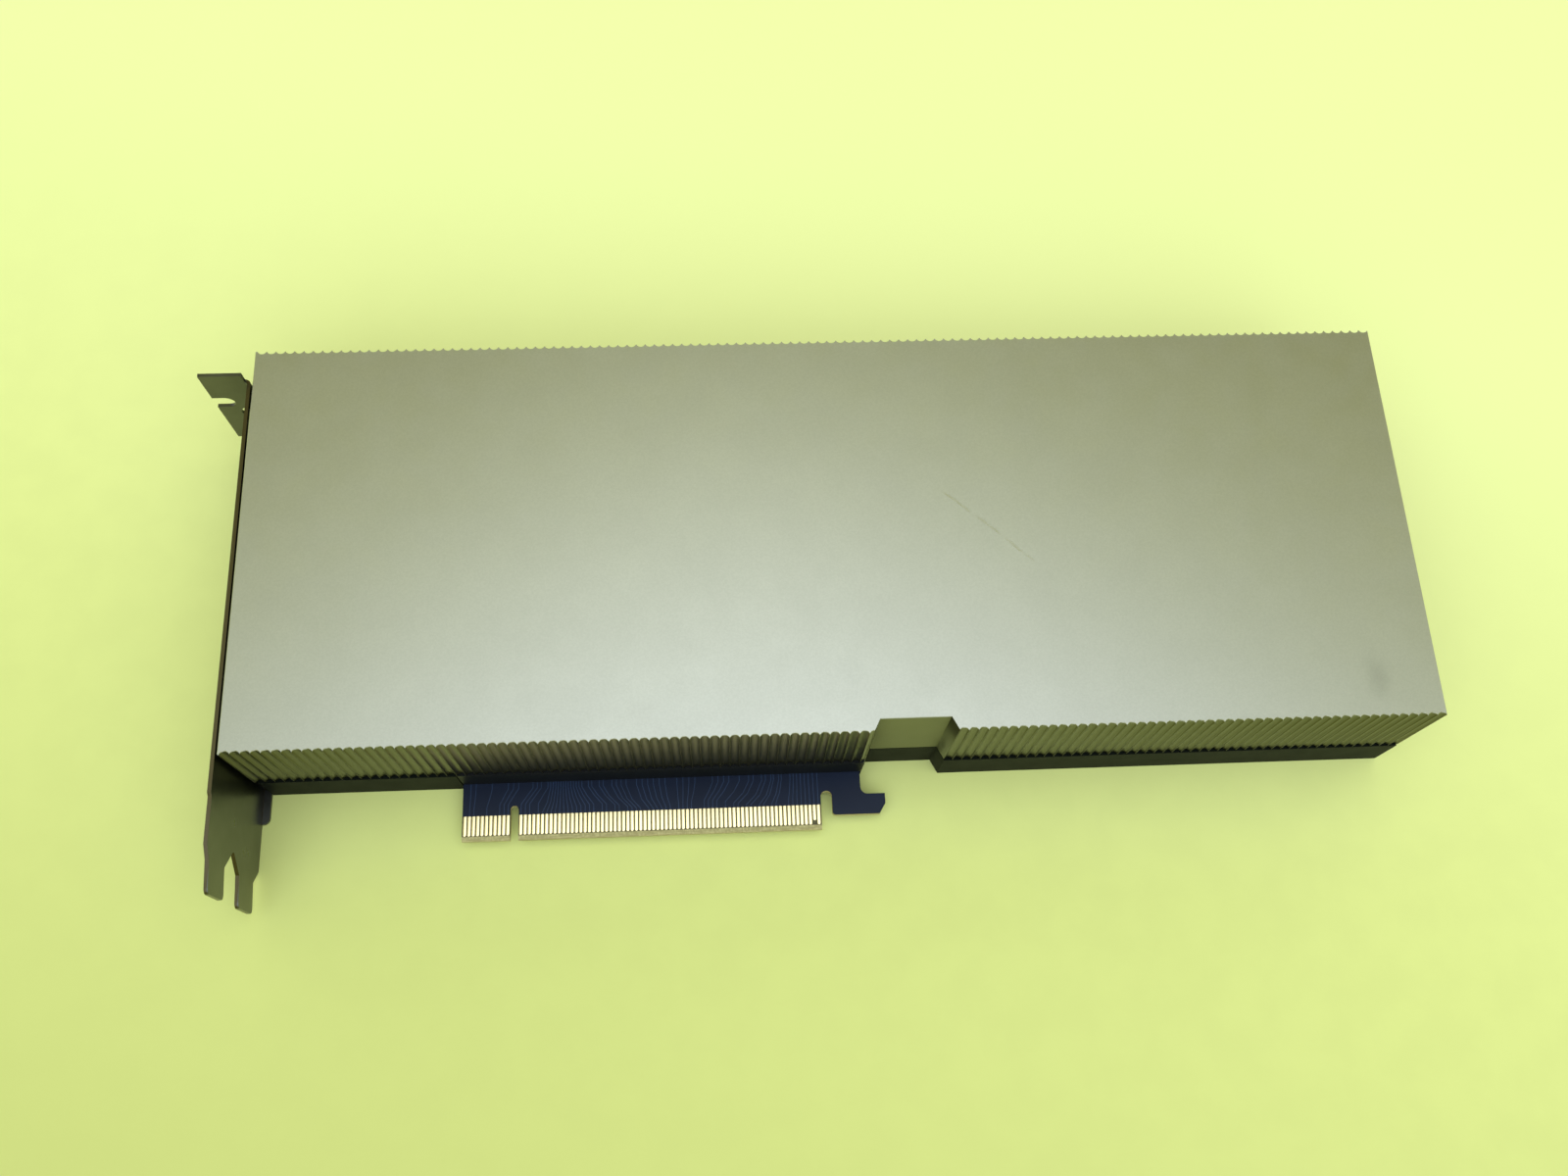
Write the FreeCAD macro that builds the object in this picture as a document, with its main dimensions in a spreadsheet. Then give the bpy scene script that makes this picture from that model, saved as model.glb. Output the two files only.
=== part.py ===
import FreeCAD, Part
import math
import os
import re
import Sketcher

# A passive, dual-slot accelerator card lying on its backplate.
# Card axes: X from the I/O bracket to the rear end, Y away from the edge connector,
# Z up from the backplate. The sheet's lengths are in millimetres and are counted from
# the cover's bracket end (X), the crests of the flutes over the connector (Y) and the
# backplate's underside (Z). Every piece is then placed so that the row's origin is the
# middle of the backplate's underside.

Vector = FreeCAD.Vector

SIZES = {
    # envelope
    "body_length": (267.7, "cover, bracket end to rear end"),
    "body_width": (97.6, "cover, crest to crest"),
    "card_thick": (39.04, "backplate to the top of the cover: two slots"),
    "band_top": (12.75, "underside of the cover"),
    # fluted cover
    "flute_pitch": (2.173, "crest to crest"),
    "flute_depth": (0.72, "depth of a flute below its crests"),
    "flute_facets": (4, "straight facets that stand for a flute's round floor"),
    "cover_wall": (2.6, "side wall, crest to inner face"),
    "cover_roof": (1.6, "roof"),
    "recess_middle": (149.8, "latch recess, its middle"),
    "recess_back": (15.7, "latch recess, width at the back"),
    "recess_mouth": (19.0, "latch recess, width at the mouth"),
    "recess_depth": (3.3, "latch recess, depth"),
    # backplate tray
    "tray_start": (0.7, "tray's bracket end"),
    "tray_sheet": (1.0, "floor and side walls"),
    "tray_seam": (0.3, "shadow gap between side wall and cover"),
    "opening_lead": (0.3, "wall opening, ahead of the tongue"),
    "rail_width": (3.6, "rails that carry the board"),
    "film_thick": (0.2, "insulating film on the floor"),
    "film_gap": (0.4, "film to the rails"),
    # main board
    "board_low": (2.67, "underside of the board"),
    "board_thick": (1.57, "board"),
    "board_gap": (0.3, "board to tray wall"),
    "board_end": (0.8, "board to the ends of the cover"),
    "tongue_start": (46.12, "edge connector, its bracket side"),
    "tongue_reach": (13.55, "edge connector beyond the crests"),
    "bevel_reach": (1.15, "bevel of the connector's edge"),
    "bevel_drop": (0.4, "bevel, off each face"),
    "key_width": (1.9, "key slot"),
    "key_height": (8.05, "key slot, tip to rounded end"),
    "notch_width": (2.68, "notch between tongue and hook"),
    "notch_top": (4.43, "rounded end of that notch, beyond the crests"),
    "hook_length": (12.65, "retention hook"),
    "hook_neck": (6.9, "neck of the hook"),
    "hook_low": (10.25, "underside of the hook, beyond the crests"),
    "hook_high": (5.4, "upper side of the hook, beyond the crests"),
    "hook_fillet": (1.7, "hook into neck"),
    "hook_corner": (0.8, "hook's corner at the notch"),
    "hook_bevel_long": (1.5, "bevel of the hook's nose along the card"),
    "hook_bevel_wide": (2.45, "bevel of the hook's nose across the card"),
    # contact pads
    "pads_before_key": (11, "pads on each face, bracket side of the key"),
    "pads_after_key": (71, "pads on each face, rear side of the key"),
    "pad_pitch": (1.0, "pad to pad"),
    "pad_width": (0.7, "pad"),
    "pad_length": (4.7, "pad"),
    "pad_short": (1.0, "what the presence pad lacks"),
    "pad_thick": (0.05, "plated copper"),
    "pad_lead": (0.65, "tongue's side to the middle of the first pad"),
    "pad_over_key": (3.0, "pad to pad across the key"),
    "pad_tip_gap": (1.15, "tongue's edge to the pads"),
    # inner frame
    "frame_gap": (0.1, "frame to tray wall"),
    "frame_side": (3.0, "long walls"),
    "frame_end": (4.0, "end walls"),
    "frame_inset": (0.9, "end walls behind the ends of the cover"),
    "ear_width": (8.0, "ears that carry the bracket"),
    "ear_inset": (14.0, "ears' middle from each long side"),
    "ear_low": (5.2, "ears' underside"),
    "ear_high": (12.2, "ears' top"),
    # screws
    "shank_radius": (1.25, "all screws"),
    "screw_gap": (0.1, "hole wall to shank"),
    "screw_sides": (12, "flats that stand for a screw's round side"),
    "head_radius": (2.4, "low screw heads"),
    "head_height": (0.6, "low screw heads"),
    "head_sink": (0.1, "heads below the backplate's underside"),
    "screw_lead": (9.0, "first and last cover screw from the ends"),
    "cover_screw_reach": (3.6, "cover screws beyond the cover's underside"),
    "lug_length": (6.4, "screw lugs inside the cover"),
    "lug_reach": (8.5, "lugs' inner face from the crests"),
    "lug_gap": (0.2, "lugs to the frame and to the cooler"),
    "middle_lug_gap": (0.25, "middle lugs to the frame where it goes round the latch recess"),
    "lug_height": (4.6, "lugs above the cover's underside"),
    # I/O bracket
    "bracket_sheet": (0.86, "steel sheet"),
    "bracket_gap": (1.3, "bracket's inner face to the cover"),
    "bracket_low": (0.1, "plate's lower edge"),
    "bracket_high": (36.45, "plate's upper edge"),
    "step_reach": (7.4, "step in the upper edge, beyond the crests"),
    "step_drop": (0.7, "that step"),
    "shoulder_reach": (18.2, "start of the shoulders, beyond the crests"),
    "prong_root": (21.2, "root of the prongs, beyond the crests"),
    "prong_tip": (28.4, "tip of the prongs, beyond the crests"),
    "prong_width": (10.19, "prong"),
    "prong_corner": (1.3, "corners of the tips"),
    "prong_lean": (3.0, "prongs bent outwards, in degrees"),
    "slot_pitch": (20.32, "expansion slot to expansion slot"),
    "prong_level": (8.49, "middle of the lower prong"),
    "fork_apex": (17.0, "end of the gap between the prongs"),
    "fork_flat": (0.9, "width of that end"),
    "bracket_height": (120.0, "tips of the prongs to the far face of the screw tab"),
    "tab_length": (11.43, "screw tab, from the plate's inner face"),
    "tab_high": (39.6, "screw tab's upper edge"),
    "tab_corner": (1.0, "screw tab's corners"),
    "bend_radius": (0.5, "inside of the tab's bend"),
    "notch_middle": (26.9, "upper screw notch"),
    "screw_notch": (4.42, "screw notches"),
    "screw_notch_depth": (4.9, "screw notches"),
    "tab_hole_radius": (2.2, "round hole in the tab"),
    "tab_hole_reach": (4.3, "that hole's middle from the plate's inner face"),
    "tab_hole_level": (21.9, "that hole's middle"),
    "flange_start": (7.2, "stiffening flange, beyond the crests"),
    "flange_clear": (3.6, "stiffening flange, clear of the screw tab"),
    "flange_width": (1.85, "stiffening flange, from the plate's inner face"),
    "flange_corner": (1.5, "stiffening flange, rounded corner"),
    "vent_pitch": (4.7, "vent to vent"),
    "vent_width": (2.8, "vent"),
    "vent_inset": (9.0, "vents from the long sides"),
    "vent_edge": (2.2, "vents to the ears and to the plate's upper edge"),
    # cooling
    "cooler_end": (6.0, "chamber and fins from the ends of the cover"),
    "chamber_rise": (4.6, "chamber's underside over the board"),
    "chamber_thick": (3.4, "vapour chamber"),
    "fin_pitch": (2.2, "fin to fin"),
    "fin_thick": (0.4, "fin"),
    "fin_foot": (0.6, "folded feet that join the fins"),
    "roof_gap": (0.2, "fins to the roof"),
    "post_size": (6.8, "posts for the processor screws"),
    # processor
    "package_place": (118.0, "middle of the processor"),
    "substrate_size": (55.0, "processor's substrate"),
    "substrate_thick": (1.6, "processor's substrate"),
    "die_long": (26.0, "die along the card"),
    "die_wide": (32.0, "die across the card"),
    "die_thick": (0.75, "die"),
    "stack_long": (8.0, "memory stack along the card"),
    "stack_wide": (10.6, "memory stack across the card"),
    "stack_gap": (0.5, "stack to stack and to the die"),
    "ring_width": (3.4, "stiffener ring"),
    "ring_thick": (0.6, "stiffener ring"),
    "pedestal_size": (46.0, "chamber's pedestal over the dies"),
    "press_reach": (33.0, "processor screws from the middle, each way"),
    "press_thick": (0.8, "retention plate under the board"),
    "press_arm": (7.0, "arms of the retention plate"),
    # power stages
    "phase_pitch": (8.6, "power phase to power phase"),
    "phase_inset": (4.0, "first phase from the chamber's long sides"),
    "stage_place": (39.8, "power stages from the middle"),
    "stage_long": (5.0, "power stage along the card"),
    "stage_wide": (6.0, "power stage across the card"),
    "stage_thick": (0.9, "power stage"),
    "soft_thick": (0.5, "thermal pads"),
    "choke_place": (47.6, "chokes from the middle"),
    "choke_long": (7.4, "choke along the card"),
    "choke_wide": (7.6, "choke across the card"),
    "capacitor_place": (56.2, "output capacitors from the middle"),
    "capacitor_long": (7.3, "capacitor along the card"),
    "capacitor_wide": (4.3, "capacitor across the card"),
    "capacitor_thick": (2.0, "capacitor"),
    # power inlet
    "socket_side": (19.2, "power socket's middle from the far side"),
    "socket_width": (18.6, "power socket"),
    "socket_height": (9.6, "power socket"),
    "socket_depth": (17.0, "power socket"),
    "socket_inset": (0.5, "socket's mouth behind the end of the cover"),
    "socket_gap": (0.4, "socket to frame, chamber and fins"),
    "pole_pitch": (4.2, "contact to contact"),
    "pole_size": (3.5, "cavity of a contact"),
    "pole_depth": (13.0, "cavity of a contact"),
    "pin_size": (1.1, "contact"),
    "pin_length": (9.5, "contact"),
    "socket_rib": (4.0, "latch rib on the socket"),
    "socket_rib_height": (1.0, "latch rib on the socket"),
    # rear threaded holes
    "thread_radius": (1.25, "threaded holes in the frame's rear wall"),
    "thread_first": (18.0, "first threaded hole from the near side"),
    "thread_pitch": (34.0, "threaded hole to threaded hole"),
}

# Places that several pieces share, written with the sizes' names.
PLACES = {
    "board_top": "(board_low + board_thick)",
    "wall_in": "(tray_sheet + board_gap)",
    "frame_out": "(tray_sheet + frame_gap)",
    "frame_in": "(tray_sheet + frame_gap + frame_side)",
    "lug_start": "(tray_sheet + frame_gap + frame_side + lug_gap)",
    "screw_inset": "((lug_start + lug_reach) / 2)",
    "recess_slope": "((recess_mouth - recess_back) / 2 / recess_depth)",
    "tongue_length": "(2 * pad_lead + (pads_before_key + pads_after_key - 2) * pad_pitch + pad_over_key)",
    "tongue_finish": "(tongue_start + tongue_length)",
    "key_middle": "(tongue_start + pad_lead + (pads_before_key - 1) * pad_pitch + pad_over_key / 2)",
    "hook_start": "(tongue_start + tongue_length + notch_width)",
    "neck_side": "(tongue_start + tongue_length + notch_width + hook_neck)",
    "hook_nose": "(tongue_start + tongue_length + notch_width + hook_length)",
    "chamber_low": "(board_low + board_thick + chamber_rise)",
    "chamber_high": "(board_low + board_thick + chamber_rise + chamber_thick)",
    "die_top": "(board_low + board_thick + substrate_thick + die_thick)",
    "mid_width": "(body_width / 2)",
    "chamber_width": "(body_width - 2 * (lug_reach + lug_gap))",
    "fin_count": "(floor((chamber_width - fin_thick) / fin_pitch) + 1)",
    "phase_count": "floor((chamber_width - 2 * phase_inset) / phase_pitch)",
    "tab_far": "(bracket_height - prong_tip)",
    "vent_count": "(floor((body_width - 2 * vent_inset) / vent_pitch) + 1)",
    "socket_middle": "(body_width - socket_side)",
    "cover_screw_tip": "(band_top + cover_screw_reach)",
    "bracket_face": "(-bracket_gap)",
    "bracket_back": "(-bracket_gap - bracket_sheet)",
    "bend_outer": "(bend_radius + bracket_sheet)",
    "hole_radius": "(shank_radius + screw_gap)",
    "frame_bulge": "(recess_middle - recess_mouth / 2 - frame_side)",
    "middle_screw": "(recess_middle - recess_mouth / 2 - frame_side - middle_lug_gap - lug_length / 2)",
    "fork_level": "(prong_level + slot_pitch / 2)",
    "press_low": "(board_low - press_thick)",
    "socket_mouth": "(body_length - socket_inset)",
    "choke_thick": "(chamber_rise - soft_thick)",
}

doc = FreeCAD.newDocument("passive_accelerator_card")
dims = doc.addObject("Spreadsheet::Sheet", "Dims")
for row, (alias, (amount, meaning)) in enumerate(SIZES.items(), start=1):
    dims.set("A%d" % row, meaning)
    dims.set("B%d" % row, str(amount))
    dims.setAlias("B%d" % row, alias)
doc.recompute()

pieces = []


def cells(text):
    """Rewrite an expression so that each size's name points at its cell."""
    while any(name in PLACES for name in re.findall(r"[a-z_]+", text)):
        text = re.sub(r"[a-z_]+", lambda word: PLACES.get(word.group(), word.group()), text)
    return re.sub(r"[a-z_]+", lambda word: "Dims." * (word.group() in SIZES) + word.group(), text)


def size(text):
    """The number that an expression on the sizes comes to."""
    return float(dims.evalExpression(cells(text)))


def bind(obj, **settings):
    """Bind properties, such as Length or Radius, to expressions on the sizes."""
    for name, text in settings.items():
        obj.setExpression(name, cells(text))
    return obj


def stand(obj, x, y, z, turn=None):
    """Bind an object's place, with a fixed turn where one is given."""
    if turn is not None:
        obj.Placement = FreeCAD.Placement(Vector(), turn)
    for axis, text in zip("xyz", (x, y, z)):
        obj.setExpression(".Placement.Base." + axis, cells(text))
    return obj


def piece(obj, label):
    """Keep an object as a sub-part, moved from the card's axes to the row's."""
    obj.Label = label
    stand(obj, "-body_length / 2", "-body_width / 2", "0")
    pieces.append(obj)
    return obj


# ---------------------------------------------------------------- Part primitives
def block(name, low, span):
    """A Part::Box from its low corner and its three lengths."""
    box = doc.addObject("Part::Box", name)
    bind(box, Length=span[0], Width=span[1], Height=span[2])
    return stand(box, *low)


def rod(name, foot, radius, height, turn=None):
    """A Part::Cylinder that stands on its foot, upright or turned."""
    cylinder = doc.addObject("Part::Cylinder", name)
    bind(cylinder, Radius=radius, Height=height)
    return stand(cylinder, *foot, turn=turn)


def gather(kind, name, members):
    """Fuse or group several objects in one."""
    joined = doc.addObject(kind, name)
    if kind == "Part::Compound":
        joined.Links = members
    else:
        joined.Shapes = members
    return joined


def cut(name, base, tool):
    """Take one object away from another."""
    cutting = doc.addObject("Part::Cut", name)
    cutting.Base = base
    cutting.Tool = tool
    return cutting


# ---------------------------------------------------------------- PartDesign bodies
def body(label):
    """An empty body that will be a sub-part of this name."""
    return piece(doc.addObject("PartDesign::Body", label), label)


def sketch(owner, role, level="0"):
    """A sketch on one of the body's own planes, at a level along its normal."""
    drawing = owner.newObject("Sketcher::SketchObject", "outline")
    plane = next(item for item in owner.Origin.OriginFeatures if item.Role == role)
    drawing.AttachmentSupport = (plane, [""])
    drawing.MapMode = "FlatFace"
    drawing.setExpression(".AttachmentOffset.Base.z", cells(level))
    return drawing


def hold(drawing, kind, *where, text):
    """A dimension of a sketch, bound to an expression."""
    number = drawing.addConstraint(Sketcher.Constraint(kind, *where, size(text)))
    drawing.setExpression("Constraints[%d]" % number, cells(text))


def loop(drawing, points, arcs=None):
    """Draw a closed outline. Each point is a pair of expressions. arcs names the points
    from which the next stretch is round: its centre, and its turn, +1 being anticlockwise."""
    arcs = arcs or {}
    spots = [Vector(size(x), size(y), 0) for x, y in points]
    starts, drawn = [], []
    for index, spot in enumerate(spots):
        following = spots[(index + 1) % len(spots)]
        if index in arcs:
            x, y, turn = arcs[index]
            centre = Vector(size(x), size(y), 0)
            first, last = (spot, following) if turn > 0 else (following, spot)
            circle = Part.Circle(centre, Vector(0, 0, 1), centre.distanceToPoint(spot))
            angles = [math.atan2(end.y - centre.y, end.x - centre.x) for end in (first, last)]
            edge = Part.ArcOfCircle(circle, angles[0], angles[0] + (angles[1] - angles[0]) % math.tau)
            starts.append(1 if turn > 0 else 2)
        else:
            edge = Part.LineSegment(spot, following)
            starts.append(1)
        drawn.append(drawing.addGeometry(edge, False))
    for index, (x, y) in enumerate(points):
        following = (index + 1) % len(points)
        number = drawn[index]
        link = ("Coincident", number, 3 - starts[index], drawn[following], starts[following])
        drawing.addConstraint(Sketcher.Constraint(*link))
        hold(drawing, "DistanceX", -1, 1, number, starts[index], text=x)
        hold(drawing, "DistanceY", -1, 1, number, starts[index], text=y)
        if index in arcs:
            chord = spots[following] - spots[index]
            if abs(chord.x) < abs(chord.y):
                hold(drawing, "DistanceX", -1, 1, number, 3, text=arcs[index][0])
            else:
                hold(drawing, "DistanceY", -1, 1, number, 3, text=arcs[index][1])
    return drawing


def ring(drawing, x, y, radius):
    """Draw a circle."""
    middle = Vector(size(x), size(y), 0)
    number = drawing.addGeometry(Part.Circle(middle, Vector(0, 0, 1), size(radius)), False)
    hold(drawing, "DistanceX", -1, 1, number, 3, text=x)
    hold(drawing, "DistanceY", -1, 1, number, 3, text=y)
    hold(drawing, "Radius", number, text=radius)
    return drawing


def rectangle(low_x, low_y, high_x, high_y):
    """The four corners of a rectangle."""
    return [(low_x, low_y), (high_x, low_y), (high_x, high_y), (low_x, high_y)]


def pad(owner, drawing, length, reverse=False):
    """Raise a sketch into a solid."""
    feature = owner.newObject("PartDesign::Pad", "pad")
    feature.Profile = drawing
    feature.Reversed = reverse
    return bind(feature, Length=length)


def pocket(owner, drawing, length, reverse=False):
    """Sink a sketch into the solid, and make sure that it took something away."""
    doc.recompute()
    before = owner.Shape.Volume
    feature = owner.newObject("PartDesign::Pocket", "pocket")
    feature.Profile = drawing
    feature.Reversed = reverse
    bind(feature, Length=length)
    doc.recompute()
    if owner.Shape.Volume > before - 1e-6:
        raise RuntimeError(owner.Label + ": a pocket cut nothing")
    return feature


def row_of(owner, feature, axis, count, pitch):
    """Repeat a feature in a straight line along one of the body's axes."""
    pattern = owner.newObject("PartDesign::LinearPattern", "row")
    pattern.Originals = [feature]
    direction = next(item for item in owner.Origin.OriginFeatures if item.Role == axis)
    pattern.Direction = (direction, [""])
    bind(pattern, Length="(%s - 1) * %s" % (count, pitch), Occurrences=count)
    owner.Tip = pattern
    return pattern


def cuboid(label, low_x, low_y, high_x, high_y, level, height):
    """A plain rectangular piece."""
    owner = body(label)
    pad(owner, loop(sketch(owner, "XY_Plane", level), rectangle(low_x, low_y, high_x, high_y)), height)
    return owner


# ---------------------------------------------------------------- shared outlines
def recess_side(inset, from_left):
    """The latch recess's corners on one side, set back into the material by an inset."""
    shift = "(%s) * (recess_slope - sqrt(1 + recess_slope ^ 2))" % inset
    sign = "" if from_left else "-"
    mouth = "recess_middle %s recess_mouth / 2" % ("-" if from_left else "+")
    back = "recess_middle %s recess_back / 2" % ("-" if from_left else "+")
    at_mouth = ("%s + %s1 * %s" % (mouth, sign, shift), inset)
    at_back = ("%s + %s1 * %s" % (back, sign, shift), "recess_depth + (%s)" % inset)
    return [at_mouth, at_back] if from_left else [at_back, at_mouth]


def screw_places():
    """Where the cover screws stand: the same row on both long sides."""
    for along in ("screw_lead", "middle_screw", "(body_length - screw_lead)"):
        yield along, "screw_inset"
        yield along, "body_width - screw_inset"


def press_places():
    """Where the four processor screws stand."""
    for along in ("package_place - press_reach", "package_place + press_reach"):
        for across in ("mid_width - press_reach", "mid_width + press_reach"):
            yield along, across


def phase_group(label, reach, long, wide, level, height):
    """One block for each power phase, on both sides of the processor."""
    blocks = []
    for sign in "-+":
        for index in range(int(size("phase_count"))):
            across = "mid_width + (%d - (phase_count - 1) / 2) * phase_pitch" % index
            low = ("package_place %s %s - %s / 2" % (sign, reach, long),
                   "%s - %s / 2" % (across, wide), level)
            blocks.append(block(label + "_block", low, (long, wide, height)))
    return piece(gather("Part::Compound", label, blocks), label)


def pad_strips(label, reach, long, wide, level):
    """A soft strip over each row of phase blocks."""
    strips = []
    for sign in "-+":
        low = ("package_place %s %s - %s / 2" % (sign, reach, long),
               "mid_width - ((phase_count - 1) * phase_pitch + %s) / 2" % wide, level)
        span = (long, "(phase_count - 1) * phase_pitch + " + wide, "soft_thick")
        strips.append(block(label + "_strip", low, span))
    return piece(gather("Part::Compound", label, strips), label)


def prism(name, foot, radius, height, turn=None):
    """A many-sided Part::Prism that stands for a small round bar."""
    bar = doc.addObject("Part::Prism", name)
    bind(bar, Polygon="screw_sides", Circumradius=radius, Height=height)
    return stand(bar, *foot, turn=turn)


def screw_group(label, feet, length, turn=None):
    """Low-headed screws of one length: each a head that stands on its foot, and a shank."""
    screws = []
    for foot in feet:
        head = prism(label + "_head", foot, "head_radius", "head_height", turn)
        shank = prism(label + "_shank", foot, "shank_radius", length, turn)
        screws.append(gather("Part::MultiFuse", label + "_screw", [head, shank]))
    return piece(gather("Part::Compound", label, screws), label)


# ---------------------------------------------------------------- fluted cover
def fluted_face():
    """The cover's outline seen from above: shallow round flutes side by side along both
    long sides, each drawn with a few straight facets between its two crests."""
    pitch, depth = size("flute_pitch"), size("flute_depth")
    long, wide = size("body_length"), size("body_width")
    facets = int(size("flute_facets"))
    count = int(long / pitch)
    radius = (pitch ** 2 / 4 + depth ** 2) / (2 * depth)
    half_angle = math.asin(pitch / 2 / radius)
    near = [Vector(0, 0, 0)]
    for index in range(count):
        middle = long - (count - index - 0.5) * pitch
        for facet in range(facets):
            angle = half_angle * (2 * facet / facets - 1)
            sunk = radius * (math.cos(angle) - math.cos(half_angle))
            near.append(Vector(middle + radius * math.sin(angle), sunk, 0))
    near.append(Vector(long, 0, 0))
    far = [Vector(point.x, wide - point.y, 0) for point in reversed(near)]
    return Part.Face(Part.makePolygon(near + far + near[:1]))


def make_cover():
    """The aluminium cover: roof and two fluted walls, open at both ends."""
    outline = doc.addObject("Part::Feature", "cover_outline")
    outline.Shape = fluted_face()
    stand(outline, "0", "0", "band_top")
    solid = doc.addObject("Part::Extrusion", "cover_solid")
    solid.Base = outline
    solid.Dir = Vector(0, 0, 1)
    solid.Solid = True
    bind(solid, LengthFwd="card_thick - band_top")
    hollow = block("cover_hollow", ("-1", "cover_wall", "band_top - 1"),
                   ("body_length + 2", "body_width - 2 * cover_wall",
                    "card_thick - cover_roof - band_top + 1"))
    lugs, bores = [], []
    for along, across in screw_places():
        near = across == "screw_inset"
        start = "%s - lug_length / 2" % along
        low_y = "cover_wall - 0.2" if near else "body_width - lug_reach"
        lugs.append(block("cover_lug", (start, low_y, "band_top"),
                          ("lug_length", "lug_reach - cover_wall + 0.2", "lug_height")))
        low_y = "lug_start" if near else "body_width - lug_reach"
        lugs.append(block("lug_foot", (start, low_y, "board_top"),
                          ("lug_length", "lug_reach - lug_start", "band_top - board_top + 0.2")))
        bores.append(rod("lug_bore", (along, across, "board_top - 1"), "hole_radius",
                         "cover_screw_tip + screw_gap - board_top + 1"))
    inner = doc.addObject("PartDesign::Body", "recess_wall")
    wall = recess_side("cover_wall", True) + recess_side("cover_wall", False)
    pad(inner, loop(sketch(inner, "XY_Plane", "band_top"), wall), "card_thick - band_top")
    latch = doc.addObject("PartDesign::Body", "recess_cutter")
    mouth = recess_side("-1", True) + recess_side("-1", False)
    mouth[1] = recess_side("0", True)[1]
    mouth[2] = recess_side("0", False)[0]
    pad(latch, loop(sketch(latch, "XY_Plane", "band_top - 1"), mouth), "card_thick - band_top + 2")
    open_shell = cut("cover_shell", solid, hollow)
    whole = gather("Part::MultiFuse", "cover_with_lugs", [open_shell, inner] + lugs)
    tools = gather("Part::MultiFuse", "cover_cutters", [latch] + bores)
    return piece(cut("shroud_cover", whole, tools), "shroud_cover")


# ---------------------------------------------------------------- backplate and frame
def make_tray():
    """The backplate: a folded tray whose side walls show as the band under the cover."""
    tray = body("backplate_tray")
    outside = [("tray_start", "0")] + recess_side("0", True) + recess_side("0", False)
    outside += [("body_length", "0"), ("body_length", "body_width"), ("tray_start", "body_width")]
    pad(tray, loop(sketch(tray, "XY_Plane"), outside), "band_top - tray_seam")
    inside = [("-1", "tray_sheet")] + recess_side("tray_sheet", True)
    inside += recess_side("tray_sheet", False) + [("body_length + 1", "tray_sheet")]
    inside += [("body_length + 1", "body_width - tray_sheet"), ("-1", "body_width - tray_sheet")]
    pocket(tray, loop(sketch(tray, "XY_Plane", "tray_sheet"), inside), "band_top", reverse=True)
    gap = rectangle("tongue_start - opening_lead", "-1", "recess_middle - recess_back / 2 + 0.1",
                    "recess_depth + tray_sheet + 0.05")
    pocket(tray, loop(sketch(tray, "XY_Plane", "tray_sheet"), gap), "band_top", reverse=True)
    rails = sketch(tray, "XY_Plane")
    for middle in ("screw_inset", "(body_width - screw_inset)"):
        loop(rails, rectangle("tray_start", middle + " - rail_width / 2",
                              "body_length", middle + " + rail_width / 2"))
    pad(tray, rails, "board_low")
    bores, sinks = sketch(tray, "XY_Plane"), sketch(tray, "XY_Plane")
    for along, across in screw_places():
        ring(bores, along, across, "hole_radius")
        ring(sinks, along, across, "head_radius + screw_gap")
    pocket(tray, bores, "board_low", reverse=True)
    pocket(tray, sinks, "head_sink + head_height", reverse=True)
    return tray


def make_film():
    """The insulating film that lies on the tray's floor between the rails."""
    edge = "(screw_inset + rail_width / 2 + film_gap)"
    return cuboid("insulator_sheet", "board_end", edge, "body_length - board_end",
                  "body_width - " + edge, "tray_sheet", "film_thick")


def make_frame():
    """The black frame between board and cover. It shows as the strip over the tongue."""
    frame = body("inner_frame")
    near_right = recess_side("frame_out", False)
    slant = recess_side("0", True)
    outside = [("frame_inset", "frame_out"), ("tongue_start", "frame_out"), ("tongue_start", "0"),
               slant[0], slant[1], (slant[1][0], "recess_depth + frame_out")]
    outside += [near_right[0], near_right[1]]
    outside += [("body_length - frame_inset", "frame_out"),
                ("body_length - frame_inset", "body_width - frame_out"),
                ("frame_inset", "body_width - frame_out")]
    drawing = loop(sketch(frame, "XY_Plane", "board_top"), outside)
    start, finish = "frame_inset + frame_end", "body_length - frame_inset - frame_end"
    bulge = ("frame_bulge", "recess_middle + recess_mouth / 2 + frame_side")
    loop(drawing, [(start, "frame_in"), (bulge[0], "frame_in"),
                   (bulge[0], "recess_depth + frame_in"), (bulge[1], "recess_depth + frame_in"),
                   (bulge[1], "frame_in"), (finish, "frame_in"),
                   (finish, "body_width - frame_in"), (start, "body_width - frame_in")])
    pad(frame, drawing, "band_top - board_top")
    ears = sketch(frame, "YZ_Plane", "bracket_face")
    for middle in ("ear_inset", "body_width - ear_inset"):
        loop(ears, rectangle("%s - ear_width / 2" % middle, "ear_low",
                             "%s + ear_width / 2" % middle, "ear_high"))
    pad(frame, ears, "frame_inset + 0.5 + bracket_gap")
    socket = rectangle("socket_mouth - socket_depth - socket_gap",
                       "socket_middle - socket_width / 2 - socket_gap",
                       "body_length + 1", "socket_middle + socket_width / 2 + socket_gap")
    pocket(frame, loop(sketch(frame, "XY_Plane", "board_top"), socket), "band_top", reverse=True)
    fixings = sketch(frame, "YZ_Plane", "bracket_face")
    for middle in ("ear_inset", "body_width - ear_inset"):
        ring(fixings, middle, "(ear_low + ear_high) / 2", "hole_radius")
    pocket(frame, fixings, "bracket_gap + frame_inset + frame_end - 0.6", reverse=True)
    threads = sketch(frame, "YZ_Plane", "body_length")
    for index in range(2):
        ring(threads, "thread_first + %d * thread_pitch" % index, "(board_top + band_top) / 2",
             "thread_radius")
    pocket(frame, threads, "frame_inset + frame_end + 0.5")
    return frame


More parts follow.
